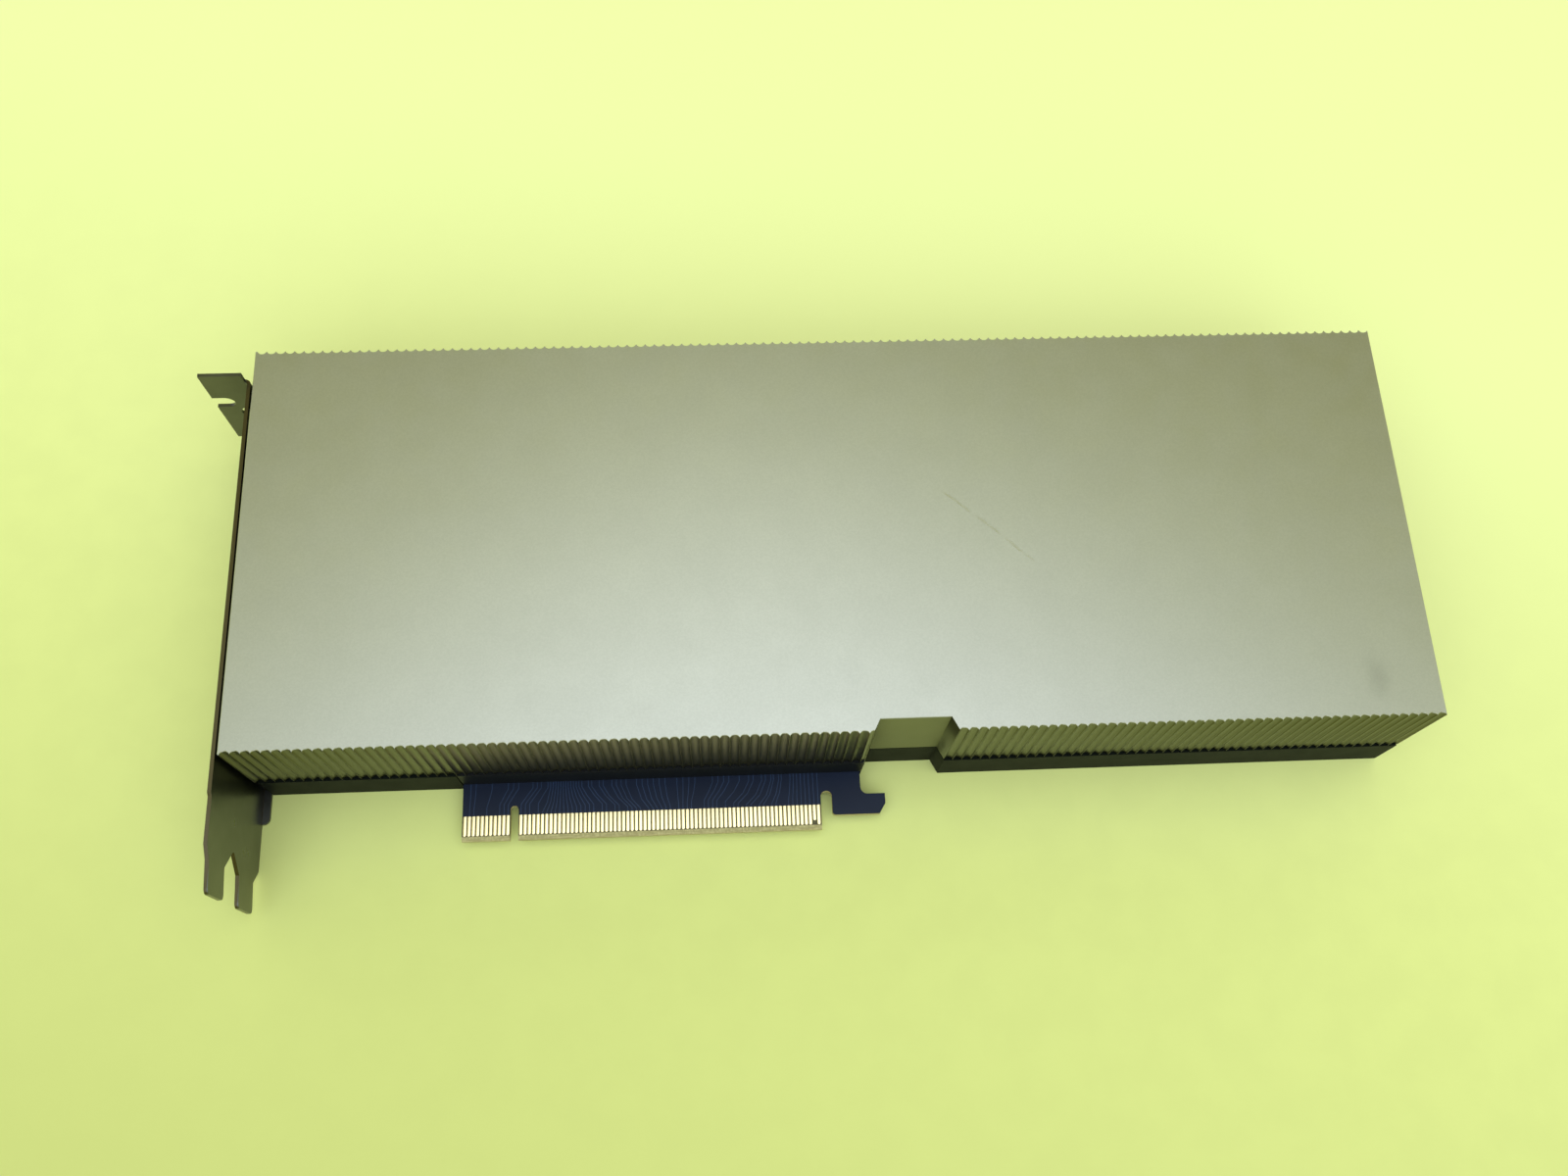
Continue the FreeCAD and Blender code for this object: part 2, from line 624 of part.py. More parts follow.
# ---------------------------------------------------------------- main board
def board_outline():
    """The board from above, from its bracket end round by the tongue and the hook."""
    left = recess_side("wall_in", True)
    right = recess_side("wall_in", False)
    half_key = "key_width / 2"
    key_end = "-tongue_reach + key_height - %s" % half_key
    notch_end = "-notch_top - notch_width / 2"
    points = [
        ("board_end", "wall_in"), ("tongue_start", "wall_in"), ("tongue_start", "-tongue_reach"),
        ("key_middle - " + half_key, "-tongue_reach"), ("key_middle - " + half_key, key_end),
        ("key_middle + " + half_key, key_end), ("key_middle + " + half_key, "-tongue_reach"),
        ("tongue_finish", "-tongue_reach"), ("tongue_finish", notch_end),
        ("hook_start", notch_end), ("hook_start", "-hook_low + hook_corner"),
        ("hook_start + hook_corner", "-hook_low"), ("hook_nose - hook_bevel_long", "-hook_low"),
        ("hook_nose", "-hook_low + hook_bevel_wide"), ("hook_nose", "-hook_high"),
        ("neck_side + hook_fillet", "-hook_high"), ("neck_side", "-hook_high + hook_fillet"),
        ("neck_side", left[1][1]), right[0], right[1],
        ("body_length - board_end", "wall_in"),
        ("body_length - board_end", "body_width - wall_in"), ("board_end", "body_width - wall_in"),
    ]
    arcs = {
        4: ("key_middle", key_end, -1),
        8: ("tongue_finish + notch_width / 2", notch_end, -1),
        10: ("hook_start + hook_corner", "-hook_low + hook_corner", 1),
        15: ("neck_side + hook_fillet", "-hook_high + hook_fillet", -1),
    }
    return points, arcs


def make_board():
    """The main board with its bevelled tongue and retention hook."""
    board = body("main_board")
    drawing = loop(sketch(board, "XY_Plane", "board_low"), *board_outline())
    for along, across in list(screw_places()) + list(press_places()):
        ring(drawing, along, across, "hole_radius")
    pad(board, drawing, "board_thick")
    bevels = sketch(board, "YZ_Plane", "tongue_start - 1")
    for face, step in (("board_low", "bevel_drop"), ("board_top", "-bevel_drop")):
        loop(bevels, [("-tongue_reach + bevel_reach", face), ("-tongue_reach - 1", face),
                      ("-tongue_reach - 1", "%s + %s * (1 + 1 / bevel_reach)" % (face, step))])
    pocket(board, bevels, "tongue_length + 2", reverse=True)
    return board


def make_pads(label, top, short_index):
    """The plated contacts of one face: two rows of thin pads, one of them shorter."""
    thick = size("pad_thick")
    level = size("board_top") if top else size("board_low") - thick
    before = int(size("pads_before_key"))
    count = before + int(size("pads_after_key"))
    low = -size("tongue_reach") + size("pad_tip_gap")
    shapes = []
    for index in range(count):
        over_key = size("pad_over_key - pad_pitch") * (index >= before)
        first = size("tongue_start + pad_lead - pad_width / 2")
        x = first + index * size("pad_pitch") + over_key
        short = size("pad_short") * (index == short_index)
        corner = Vector(x, low + short, level)
        shapes.append(Part.makeBox(size("pad_width"), size("pad_length") - short, thick, corner))
    pads = doc.addObject("Part::Feature", label)
    pads.Shape = Part.makeCompound(shapes)
    return piece(pads, label)


# ---------------------------------------------------------------- processor and power
def make_processor():
    """The packaged processor: substrate, stiffener ring, die and six memory stacks."""
    half = "substrate_size / 2"
    square = ("package_place - " + half, "mid_width - " + half,
              "package_place + " + half, "mid_width + " + half)
    cuboid("processor_substrate", *square, "board_top", "substrate_thick")
    stiffener = body("stiffener_ring")
    drawing = loop(sketch(stiffener, "XY_Plane", "board_top + substrate_thick"), rectangle(*square))
    inner = "(substrate_size / 2 - ring_width)"
    loop(drawing, rectangle("package_place - " + inner, "mid_width - " + inner,
                            "package_place + " + inner, "mid_width + " + inner))
    pad(stiffener, drawing, "ring_thick")
    cuboid("processor_die", "package_place - die_long / 2", "mid_width - die_wide / 2",
           "package_place + die_long / 2", "mid_width + die_wide / 2",
           "board_top + substrate_thick", "die_thick")
    stacks = []
    for low_x in ("package_place - die_long / 2 - stack_gap - stack_long",
                  "package_place + die_long / 2 + stack_gap"):
        for index in range(3):
            low_y = "mid_width + (%d - 1.5) * stack_wide + %d * stack_gap" % (index, index - 1)
            stacks.append(block("memory_stack", (low_x, low_y, "board_top + substrate_thick"),
                                ("stack_long", "stack_wide", "die_thick")))
    piece(gather("Part::Compound", "memory_stacks", stacks), "memory_stacks")


def make_power_stages():
    """Power stages and chokes, the soft strips on them, and the output capacitors."""
    phase_group("power_stages", "stage_place", "stage_long", "stage_wide", "board_top", "stage_thick")
    pad_strips("stage_pads", "stage_place", "stage_long", "stage_wide", "board_top + stage_thick")
    phase_group("power_chokes", "choke_place", "choke_long", "choke_wide", "board_top", "choke_thick")
    pad_strips("choke_pads", "choke_place", "choke_long", "choke_wide", "board_top + choke_thick")
    phase_group("output_capacitors", "capacitor_place", "capacitor_long", "capacitor_wide",
                "board_top", "capacitor_thick")


def make_socket():
    """The eight-pole power socket at the rear end, and its contacts."""
    socket = body("power_socket")
    half = "socket_width / 2"
    level = "socket_mouth - socket_depth"
    face = loop(sketch(socket, "YZ_Plane", level),
                rectangle("socket_middle - " + half, "board_top",
                          "socket_middle + " + half, "board_top + socket_height"))
    pad(socket, face, "socket_depth")
    rib = loop(sketch(socket, "YZ_Plane", "socket_mouth - pole_depth / 2"),
               rectangle("socket_middle - socket_rib / 2", "board_top + socket_height - 0.2",
                         "socket_middle + socket_rib / 2",
                         "board_top + socket_height + socket_rib_height"))
    pad(socket, rib, "pole_depth / 2 - 1")
    holes = sketch(socket, "YZ_Plane", "socket_mouth")
    pins = []
    for row in range(2):
        z = "board_top + socket_height / 2 + (%d - 0.5) * pole_pitch" % row
        for column in range(4):
            y = "socket_middle + (%d - 1.5) * pole_pitch" % column
            loop(holes, rectangle("%s - pole_size / 2" % y, "%s - pole_size / 2" % z,
                                  "%s + pole_size / 2" % y, "%s + pole_size / 2" % z))
            pins.append(block("pin", ("socket_mouth - pole_depth", "%s - pin_size / 2" % y,
                                      "%s - pin_size / 2" % z), ("pin_length", "pin_size", "pin_size")))
    pocket(socket, holes, "pole_depth")
    piece(gather("Part::Compound", "power_pins", pins), "power_pins")


# ---------------------------------------------------------------- cooler
def socket_room(name):
    """The corner that the chamber and the fins leave for the power socket."""
    return block(name, ("socket_mouth - socket_depth - socket_gap",
                        "socket_middle - socket_width / 2 - socket_gap", "board_top"),
                 ("socket_depth + 10", "body_width",
                  "socket_height + socket_rib_height + socket_gap"))


def make_chamber():
    """The vapour chamber with its pedestal, its ribs over the power stages and its posts."""
    plate = block("chamber_plate", ("cooler_end", "mid_width - chamber_width / 2", "chamber_low"),
                  ("body_length - 2 * cooler_end", "chamber_width", "chamber_thick"))
    parts = [plate]
    parts.append(block("chamber_pedestal", ("package_place - pedestal_size / 2",
                                            "mid_width - pedestal_size / 2", "die_top"),
                       ("pedestal_size", "pedestal_size", "chamber_low - die_top")))
    for sign in "-+":
        low = ("package_place %s stage_place - stage_long / 2" % sign,
               "mid_width - phase_count * phase_pitch / 2", "board_top + stage_thick + soft_thick")
        parts.append(block("chamber_rib", low, ("stage_long", "phase_count * phase_pitch",
                                                "chamber_rise - stage_thick - soft_thick")))
    bores = [socket_room("chamber_socket_room")]
    for along, across in press_places():
        low = (along + " - post_size / 2", across + " - post_size / 2", "board_top")
        parts.append(block("chamber_post", low, ("post_size", "post_size", "chamber_rise")))
        bores.append(rod("post_bore", (along, across, "board_top - 1"), "hole_radius",
                         "chamber_rise + 1 + screw_gap"))
    joined = gather("Part::MultiFuse", "chamber_joined", parts)
    tools = gather("Part::MultiFuse", "chamber_cutters", bores)
    return piece(cut("vapour_chamber", joined, tools), "vapour_chamber")


def make_fins():
    """The fin stack: upright fins along the card, joined by their folded feet."""
    stack = body("fins")
    pieces.remove(stack)
    stand(stack, "0", "0", "0")
    low_y = "mid_width - ((fin_count - 1) * fin_pitch + fin_thick) / 2"
    high_y = "mid_width + ((fin_count - 1) * fin_pitch + fin_thick) / 2"
    feet = loop(sketch(stack, "XY_Plane", "chamber_high"),
                rectangle("cooler_end", low_y, "body_length - cooler_end", high_y))
    pad(stack, feet, "fin_foot")
    fin = loop(sketch(stack, "XY_Plane", "chamber_high"),
               rectangle("cooler_end", low_y, "body_length - cooler_end", low_y + " + fin_thick"))
    upright = pad(stack, fin, "card_thick - cover_roof - roof_gap - chamber_high")
    row_of(stack, upright, "Y_Axis", "fin_count", "fin_pitch")
    return piece(cut("fin_stack", stack, socket_room("fin_socket_room")), "fin_stack")


def make_press_plate():
    """The crossed retention plate between the backplate and the board."""
    plate = body("retention_plate")
    arm = "press_arm / 2"
    reach = "press_reach * sqrt(2)"
    first = sketch(plate, "XY_Plane", "press_low")
    first.AttachmentOffset = FreeCAD.Placement(Vector(), FreeCAD.Rotation(Vector(0, 0, 1), 45))
    for axis, text in (("x", "package_place"), ("y", "mid_width"), ("z", "press_low")):
        first.setExpression(".AttachmentOffset.Base." + axis, cells(text))
    far = "(%s + %s)" % (reach, arm)
    near = arm
    loop(first, [("-" + far, "-" + near), ("-" + near, "-" + near), ("-" + near, "-" + far),
                 (near, "-" + far), (near, "-" + near), (far, "-" + near), (far, near),
                 (near, near), (near, far), ("-" + near, far), ("-" + near, near), ("-" + far, near)])
    for x, y in ((reach, "0"), ("-" + reach, "0"), ("0", reach), ("0", "-" + reach)):
        ring(first, x, y, "hole_radius")
    pad(plate, first, "press_thick")
    return plate


# ---------------------------------------------------------------- I/O bracket
def make_bracket():
    """The folded steel bracket: plate, prongs, screw tab, stiffening flange and vents."""
    bracket = body("io_bracket")
    half = "prong_width / 2"
    upper = "(prong_level + slot_pitch)"
    plate = [
        ("tab_far - bend_outer", "bracket_low"), ("tab_far - bend_outer", "bracket_high"),
        ("-step_reach", "bracket_high"), ("-step_reach - step_drop", "bracket_high - step_drop"),
        ("-shoulder_reach", "bracket_high - step_drop"),
        ("-prong_root", "%s + %s" % (upper, half)), ("-prong_root", "%s - %s" % (upper, half)),
        ("-fork_apex", "fork_level + fork_flat / 2"), ("-fork_apex", "fork_level - fork_flat / 2"),
        ("-prong_root", "prong_level + " + half), ("-prong_root", "prong_level - " + half),
        ("-shoulder_reach", "bracket_low"),
    ]
    pad(bracket, loop(sketch(bracket, "YZ_Plane", "bracket_face"), plate), "bracket_sheet",
        reverse=True)
    for level in ("prong_level", upper):
        prong = sketch(bracket, "YZ_Plane", "bracket_face")
        lean = FreeCAD.Rotation(Vector(0, 1, 0), size("prong_lean"))
        prong.AttachmentOffset = FreeCAD.Placement(Vector(), lean)
        for axis, text in (("x", "-prong_root"), ("y", level), ("z", "bracket_face")):
            prong.setExpression(".AttachmentOffset.Base." + axis, cells(text))
        tip = "(prong_root - prong_tip)"
        points = [("0.4", half), (tip + " + prong_corner", half), (tip, half + " - prong_corner"),
                  (tip, "prong_corner - " + half), (tip + " + prong_corner", "-" + half),
                  ("0.4", "-" + half)]
        arcs = {1: (tip + " + prong_corner", half + " - prong_corner", 1),
                3: (tip + " + prong_corner", "prong_corner - " + half, 1)}
        pad(bracket, loop(prong, points, arcs), "bracket_sheet", reverse=True)
    bend = [
        ("bracket_face", "tab_far - bend_outer"), ("bracket_face - bend_outer", "tab_far"),
        ("bracket_face - tab_length", "tab_far"),
        ("bracket_face - tab_length", "tab_far - bracket_sheet"),
        ("bracket_face - bend_outer", "tab_far - bracket_sheet"),
        ("bracket_back", "tab_far - bend_outer"),
    ]
    bend_middle = ("bracket_face - bend_outer", "tab_far - bend_outer")
    arcs = {0: bend_middle + (1,), 4: bend_middle + (-1,)}
    pad(bracket, loop(sketch(bracket, "XY_Plane", "bracket_low"), bend, arcs),
        "bracket_high - bracket_low")
    finish = "bracket_face - tab_length"
    rise = rectangle(finish, "bracket_high - 1", "bracket_face - bend_outer", "tab_high")
    pad(bracket, loop(sketch(bracket, "XZ_Plane", "-tab_far"), rise), "bracket_sheet")
    flange = [("bracket_face - 0.2", "-flange_start"),
              ("bracket_face + flange_width - flange_corner", "-flange_start"),
              ("bracket_face + flange_width", "-flange_start + flange_corner"),
              ("bracket_face + flange_width", "tab_far - flange_clear"),
              ("bracket_face - 0.2", "tab_far - flange_clear")]
    arcs = {1: ("bracket_face + flange_width - flange_corner", "-flange_start + flange_corner", 1)}
    pad(bracket, loop(sketch(bracket, "XY_Plane", "bracket_low"), flange, arcs), "bracket_sheet")
    notches = sketch(bracket, "XZ_Plane", "-tab_far - 1")
    for level in ("notch_middle", "(notch_middle - slot_pitch)"):
        inner = "%s + screw_notch_depth - screw_notch / 2" % finish
        points = [(finish + " - 1", level + " - screw_notch / 2"), (inner, level + " - screw_notch / 2"),
                  (inner, level + " + screw_notch / 2"), (finish + " - 1", level + " + screw_notch / 2")]
        loop(notches, points, {1: (inner, level, 1)})
    ring(notches, "bracket_face - tab_hole_reach", "tab_hole_level", "tab_hole_radius")
    pocket(bracket, notches, "bracket_sheet + 2", reverse=True)
    vent = sketch(bracket, "YZ_Plane", "bracket_face + 1")
    middle_y = "(mid_width - (vent_count - 1) * vent_pitch / 2)"
    loop(vent, rectangle(middle_y + " - vent_width / 2", "ear_high + vent_edge",
                         middle_y + " + vent_width / 2", "bracket_high - vent_edge"))
    slot = pocket(bracket, vent, "bracket_sheet + 2")
    row_of(bracket, slot, "Y_Axis", "vent_count", "vent_pitch")
    eyes = sketch(bracket, "YZ_Plane", "bracket_face + 1")
    for middle in ("ear_inset", "body_width - ear_inset"):
        ring(eyes, middle, "(ear_low + ear_high) / 2", "hole_radius")
    pocket(bracket, eyes, "bracket_sheet + 2")
    return bracket


# ---------------------------------------------------------------- the whole card
make_cover()
make_tray()
make_film()
make_frame()
make_board()
make_pads("edge_contacts_front", True, 80)
make_pads("edge_contacts_back", False, 0)
make_processor()
make_power_stages()
make_socket()
make_chamber()
make_fins()
make_press_plate()
make_bracket()
screw_group("bracket_screws",
            [("bracket_back - head_height", middle, "(ear_low + ear_high) / 2")
             for middle in ("ear_inset", "body_width - ear_inset")],
            "head_height + bracket_sheet + bracket_gap + frame_inset + frame_end - 0.8",
            FreeCAD.Rotation(Vector(0, 1, 0), 90))
screw_group("cover_screws", [(along, across, "head_sink") for along, across in screw_places()],
            "cover_screw_tip - head_sink")
screw_group("processor_screws",
            [(along, across, "press_low - head_height") for along, across in press_places()],
            "chamber_low - press_low + head_height - 0.2")
doc.recompute()

for obj in doc.Objects:
    if "Invalid" in obj.State or "Error" in obj.State:
        raise RuntimeError("%s failed: %s" % (obj.Label, obj.State))
for obj in pieces:
    if obj.Shape.isNull() or not obj.Shape.isValid():
        raise RuntimeError(obj.Label + " has no valid shape")

os.makedirs("parts", exist_ok=True)
for obj in pieces:
    obj.Shape.exportStep(os.path.join("parts", obj.Label + ".step"))
    print("%-22s %3d solids  %10.2f mm3" % (obj.Label, len(obj.Shape.Solids), obj.Shape.Volume))
print(len(pieces), "nodes")
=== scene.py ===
"""The looks of a passive, dual-slot accelerator card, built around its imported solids.

Lengths are in metres in the solids' own frame: X runs from the bracket to the rear end,
Y away from the edge connector and Z up from the backplate's underside. Each sub-assembly
is a class that takes its places from the boxes of the solids, builds its finer surfaces
with numpy and dresses them. Each finish is a class that builds one material.
"""

import logging
import math
from collections.abc import Sequence
from dataclasses import dataclass, field
from enum import Enum

import bmesh
import bpy
import numpy as np
from mathutils import Euler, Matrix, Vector


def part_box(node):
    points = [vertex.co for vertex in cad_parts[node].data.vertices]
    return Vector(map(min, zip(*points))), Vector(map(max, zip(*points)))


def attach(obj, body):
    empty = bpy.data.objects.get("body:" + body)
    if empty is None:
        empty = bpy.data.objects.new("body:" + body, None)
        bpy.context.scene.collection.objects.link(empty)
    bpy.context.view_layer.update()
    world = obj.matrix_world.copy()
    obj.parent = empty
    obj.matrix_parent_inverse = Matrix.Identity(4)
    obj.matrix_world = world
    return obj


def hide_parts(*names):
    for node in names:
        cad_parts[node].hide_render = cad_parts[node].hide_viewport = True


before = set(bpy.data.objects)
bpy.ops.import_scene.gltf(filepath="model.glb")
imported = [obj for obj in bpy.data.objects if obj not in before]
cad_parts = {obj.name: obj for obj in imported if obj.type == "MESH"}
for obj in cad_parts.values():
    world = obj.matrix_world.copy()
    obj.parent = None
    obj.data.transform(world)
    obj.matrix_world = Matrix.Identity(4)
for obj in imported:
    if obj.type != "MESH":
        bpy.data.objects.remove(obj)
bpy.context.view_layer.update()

log = logging.getLogger("card")

MM = 0.001
MERGE = 1e-7  # points of a solid's mesh that are nearer than this are one
NEAR = 1e-6  # places nearer than this count as the same
FLAT = 0.4  # degrees between faces that are merged
Colour = tuple[float, float, float]


def linear(red: int, green: int, blue: int) -> Colour:
    """Turn a display colour of 0 to 255 a channel into the linear values that shaders take."""
    shares = [channel / 255 for channel in (red, green, blue)]
    return tuple(s / 12.92 if s <= 0.04045 else ((s + 0.055) / 1.055) ** 2.4 for s in shares)


# --------------------------------------------------------------------------- shader sums
class Wire:
    """A node's output that can be used in sums with other outputs and plain numbers."""

    def __init__(self, graph: "Graph", socket: bpy.types.NodeSocket) -> None:
        """Keep the socket and the graph that new nodes go to."""
        self.graph = graph
        self.socket = socket

    def math(self, operation: str, *values: "Wire | float") -> "Wire":
        """Add one Math node.

        Args:
            operation: the Math node's operation.
            values: what feeds it, in order.

        Returns:
            The node's result.
        """
        inputs = dict(enumerate(values))
        return self.graph.add("Math", {"operation": operation}, inputs)

    def __add__(self, other: "Wire | float") -> "Wire":
        """Sum."""
        return self.math("ADD", self, other)

    __radd__ = __add__

    def __sub__(self, other: "Wire | float") -> "Wire":
        """Difference."""
        return self.math("SUBTRACT", self, other)

    def __rsub__(self, other: "Wire | float") -> "Wire":
        """Difference with the number first."""
        return self.math("SUBTRACT", other, self)

    def __mul__(self, other: "Wire | float") -> "Wire":
        """Product."""
        return self.math("MULTIPLY", self, other)

    __rmul__ = __mul__

    def __pow__(self, other: "Wire | float") -> "Wire":
        """Power."""
        return self.math("POWER", self, other)

    def __abs__(self) -> "Wire":
        """Size without its sign."""
        return self.math("ABSOLUTE", self)

    def most(self, other: "Wire | float") -> "Wire":
        """The larger of the two."""
        return self.math("MAXIMUM", self, other)

    def step(self, low: float, high: float) -> "Wire":
        """Rise smoothly from 0 at low to 1 at high. With low above high it falls instead."""
        ends = {"Value": self, "From Min": low, "From Max": high}
        return self.graph.add("MapRange", {"interpolation_type": "SMOOTHSTEP"}, ends)


class Graph:
    """The node tree of one material or of the room."""

    def __init__(self, tree: bpy.types.NodeTree) -> None:
        """Keep the tree."""
        self.tree = tree

    def add(self, kind: str, settings: dict | None = None, inputs: dict | None = None,
            output: str | int = 0) -> Wire:
        """Add a node.

        Args:
            kind: its type, without the leading ShaderNode.
            settings: its properties, set first. "stops" holds a ramp's (place, colour) pairs.
            inputs: values or wires for its sockets, by name or number.
            output: the output that is wanted.

        Returns:
            That output.
        """
        node = self.tree.nodes.new("ShaderNode" + kind)
        for name, value in (settings or {}).items():
            if name == "stops":
                self._set_stops(node.color_ramp.elements, value)
            else:
                setattr(node, name, value)
        for name, value in (inputs or {}).items():
            if isinstance(value, Wire):
                self.tree.links.new(value.socket, node.inputs[name])
            else:
                node.inputs[name].default_value = value
        return Wire(self, node.outputs[output])

    def end(self, kind: str, surface: Wire) -> None:
        """Link the surface to a new output node of this type."""
        self.tree.links.new(surface.socket, self.tree.nodes.new("ShaderNode" + kind).inputs[0])

    @staticmethod
    def _set_stops(elements: bpy.types.ColorRampElements, stops: Sequence) -> None:
        """Replace a ramp's elements by these stops.

        Args:
            elements: the ramp's elements.
            stops: pairs of a place from 0 to 1 and a linear colour, in rising order.
        """
        while len(elements) > 1:
            elements.remove(elements[-1])
        elements[0].position, elements[0].color = stops[0][0], (*stops[0][1], 1)
        for place, colour in stops[1:]:
            elements.new(place).color = (*colour, 1)

    def place(self, axis: str | None = None, stretch: Sequence[float] = (1, 1, 1)) -> Wire:
        """Object coordinates, or one of their axes.

        Args:
            axis: "X", "Y" or "Z", or None for all three as a vector.
            stretch: factors of the three axes. A pattern gets longer where one is below 1.

        Returns:
            The coordinate.
        """
        spot = self.add("TexCoord", output="Object")
        if tuple(stretch) != (1, 1, 1):
            spot = self.add("VectorMath", {"operation": "MULTIPLY"}, {0: spot, 1: stretch})
        return self.add("SeparateXYZ", None, {0: spot}, output=axis) if axis else spot

    def facing(self, axis: str, normal: str = "Normal") -> Wire:
        """How squarely the surface faces along an axis, either way, from 0 to 1.

        Args:
            axis: "X", "Y" or "Z".
            normal: "Normal" for the shaded surface, "True Normal" for its flat faces.

        Returns:
            The size of the normal's part along the axis.
        """
        turned = self.add("NewGeometry", output=normal)
        return abs(self.add("SeparateXYZ", None, {0: turned}, output=axis))

    def noise(self, spot: Wire, scale: float, detail: float = 2.0) -> Wire:
        """Noise from 0 to 1, with scale in lumps a metre."""
        return self.add("TexNoise", None, {"Vector": spot, "Scale": scale, "Detail": detail})

    def mix(self, share: "Wire | float", first: "Wire | Colour", second: "Wire | Colour") -> Wire:
        """Mix two colours.

        Args:
            share: how much of the second.
            first: a colour or a wire.
            second: a colour or a wire.

        Returns:
            The mixed colour.
        """
        colours = [c if isinstance(c, Wire) else (*c, 1) for c in (first, second)]
        return self.add("Mix", {"data_type": "RGBA"}, {0: share, 6: colours[0], 7: colours[1]}, 2)

    def bump(self, height: Wire, depth: float) -> Wire:
        """A normal from a height of 0 to 1 that stands for this depth in metres."""
        return self.add("Bump", None, {"Height": height, "Distance": depth, "Strength": 1.0})


@dataclass(frozen=True)
class Finish:
    """A finish with one base colour and a little unevenness.

    Attributes:
        name: the material's name.
        colour: linear base colour.
        metallic: 1 for bare metal, 0 for the rest.
        roughness: the middle of the roughness.
        unevenness: how far the roughness wanders.
        mottle: how far the colour wanders, as a share.
        grain: lumps a metre of the fine grain.
        depth: depth of the grain in metres.
        stretch: factors of the pattern's axes, for rolled or brushed metal.
        coat: clear coat weight.
        coat_roughness: roughness of the clear coat.
        shine: specular level, 0.5 for most plastics.
        clouds: lumps a metre of the colour's wander.
        wander: lumps a metre of the roughness's wander.
    """

    name: str
    colour: Colour
    metallic: float = 0.0
    roughness: float = 0.5
    unevenness: float = 0.06
    mottle: float = 0.06
    grain: float = 2500.0
    depth: float = 2e-6
    stretch: tuple[float, float, float] = (1.0, 1.0, 1.0)
    coat: float = 0.0
    coat_roughness: float = 0.15
    shine: float = 0.5
    clouds: float = 90.0
    wander: float = 160.0

    def base(self, graph: Graph) -> Wire:
        """Base colour: the plain colour, lighter and darker in soft clouds.

        Args:
            graph: the material's nodes.

        Returns:
            The colour.
        """
        cloud = graph.noise(graph.place(stretch=self.stretch), self.clouds, 4.0)
        dark = tuple(channel * (1 - self.mottle) for channel in self.colour)
        light = tuple(min(channel * (1 + self.mottle), 1.0) for channel in self.colour)
        return graph.mix(cloud.step(0.3, 0.7), dark, light)

    def gloss(self, graph: Graph) -> Wire:
        """Roughness: its middle value with a slow wander."""
        wander = graph.noise(graph.place(stretch=self.stretch), self.wander, 3.0)
        return self.roughness + (wander - 0.5) * (2 * self.unevenness)

    def relief(self, graph: Graph) -> Wire:
        """Height of 0 to 1 of the fine grain."""
        return graph.noise(graph.place(stretch=self.stretch), self.grain, 2.0)

    def material(self) -> bpy.types.Material:
        """Build the material, or return it if it is there.

        Returns:
            The material.
        """
        known = bpy.data.materials.get(self.name)
        if known:
            return known
        made = bpy.data.materials.new(self.name)
        made.use_nodes = True
        made.node_tree.nodes.clear()
        graph = Graph(made.node_tree)
        surface = graph.add("BsdfPrincipled", None, {
            "Base Color": self.base(graph),
            "Metallic": self.metallic,
            "Roughness": self.gloss(graph),
            "Specular IOR Level": self.shine,
            "Coat Weight": self.coat,
            "Coat Roughness": self.coat_roughness,
            "Normal": graph.bump(self.relief(graph), self.depth),
        })
        graph.end("OutputMaterial", surface)
        return made


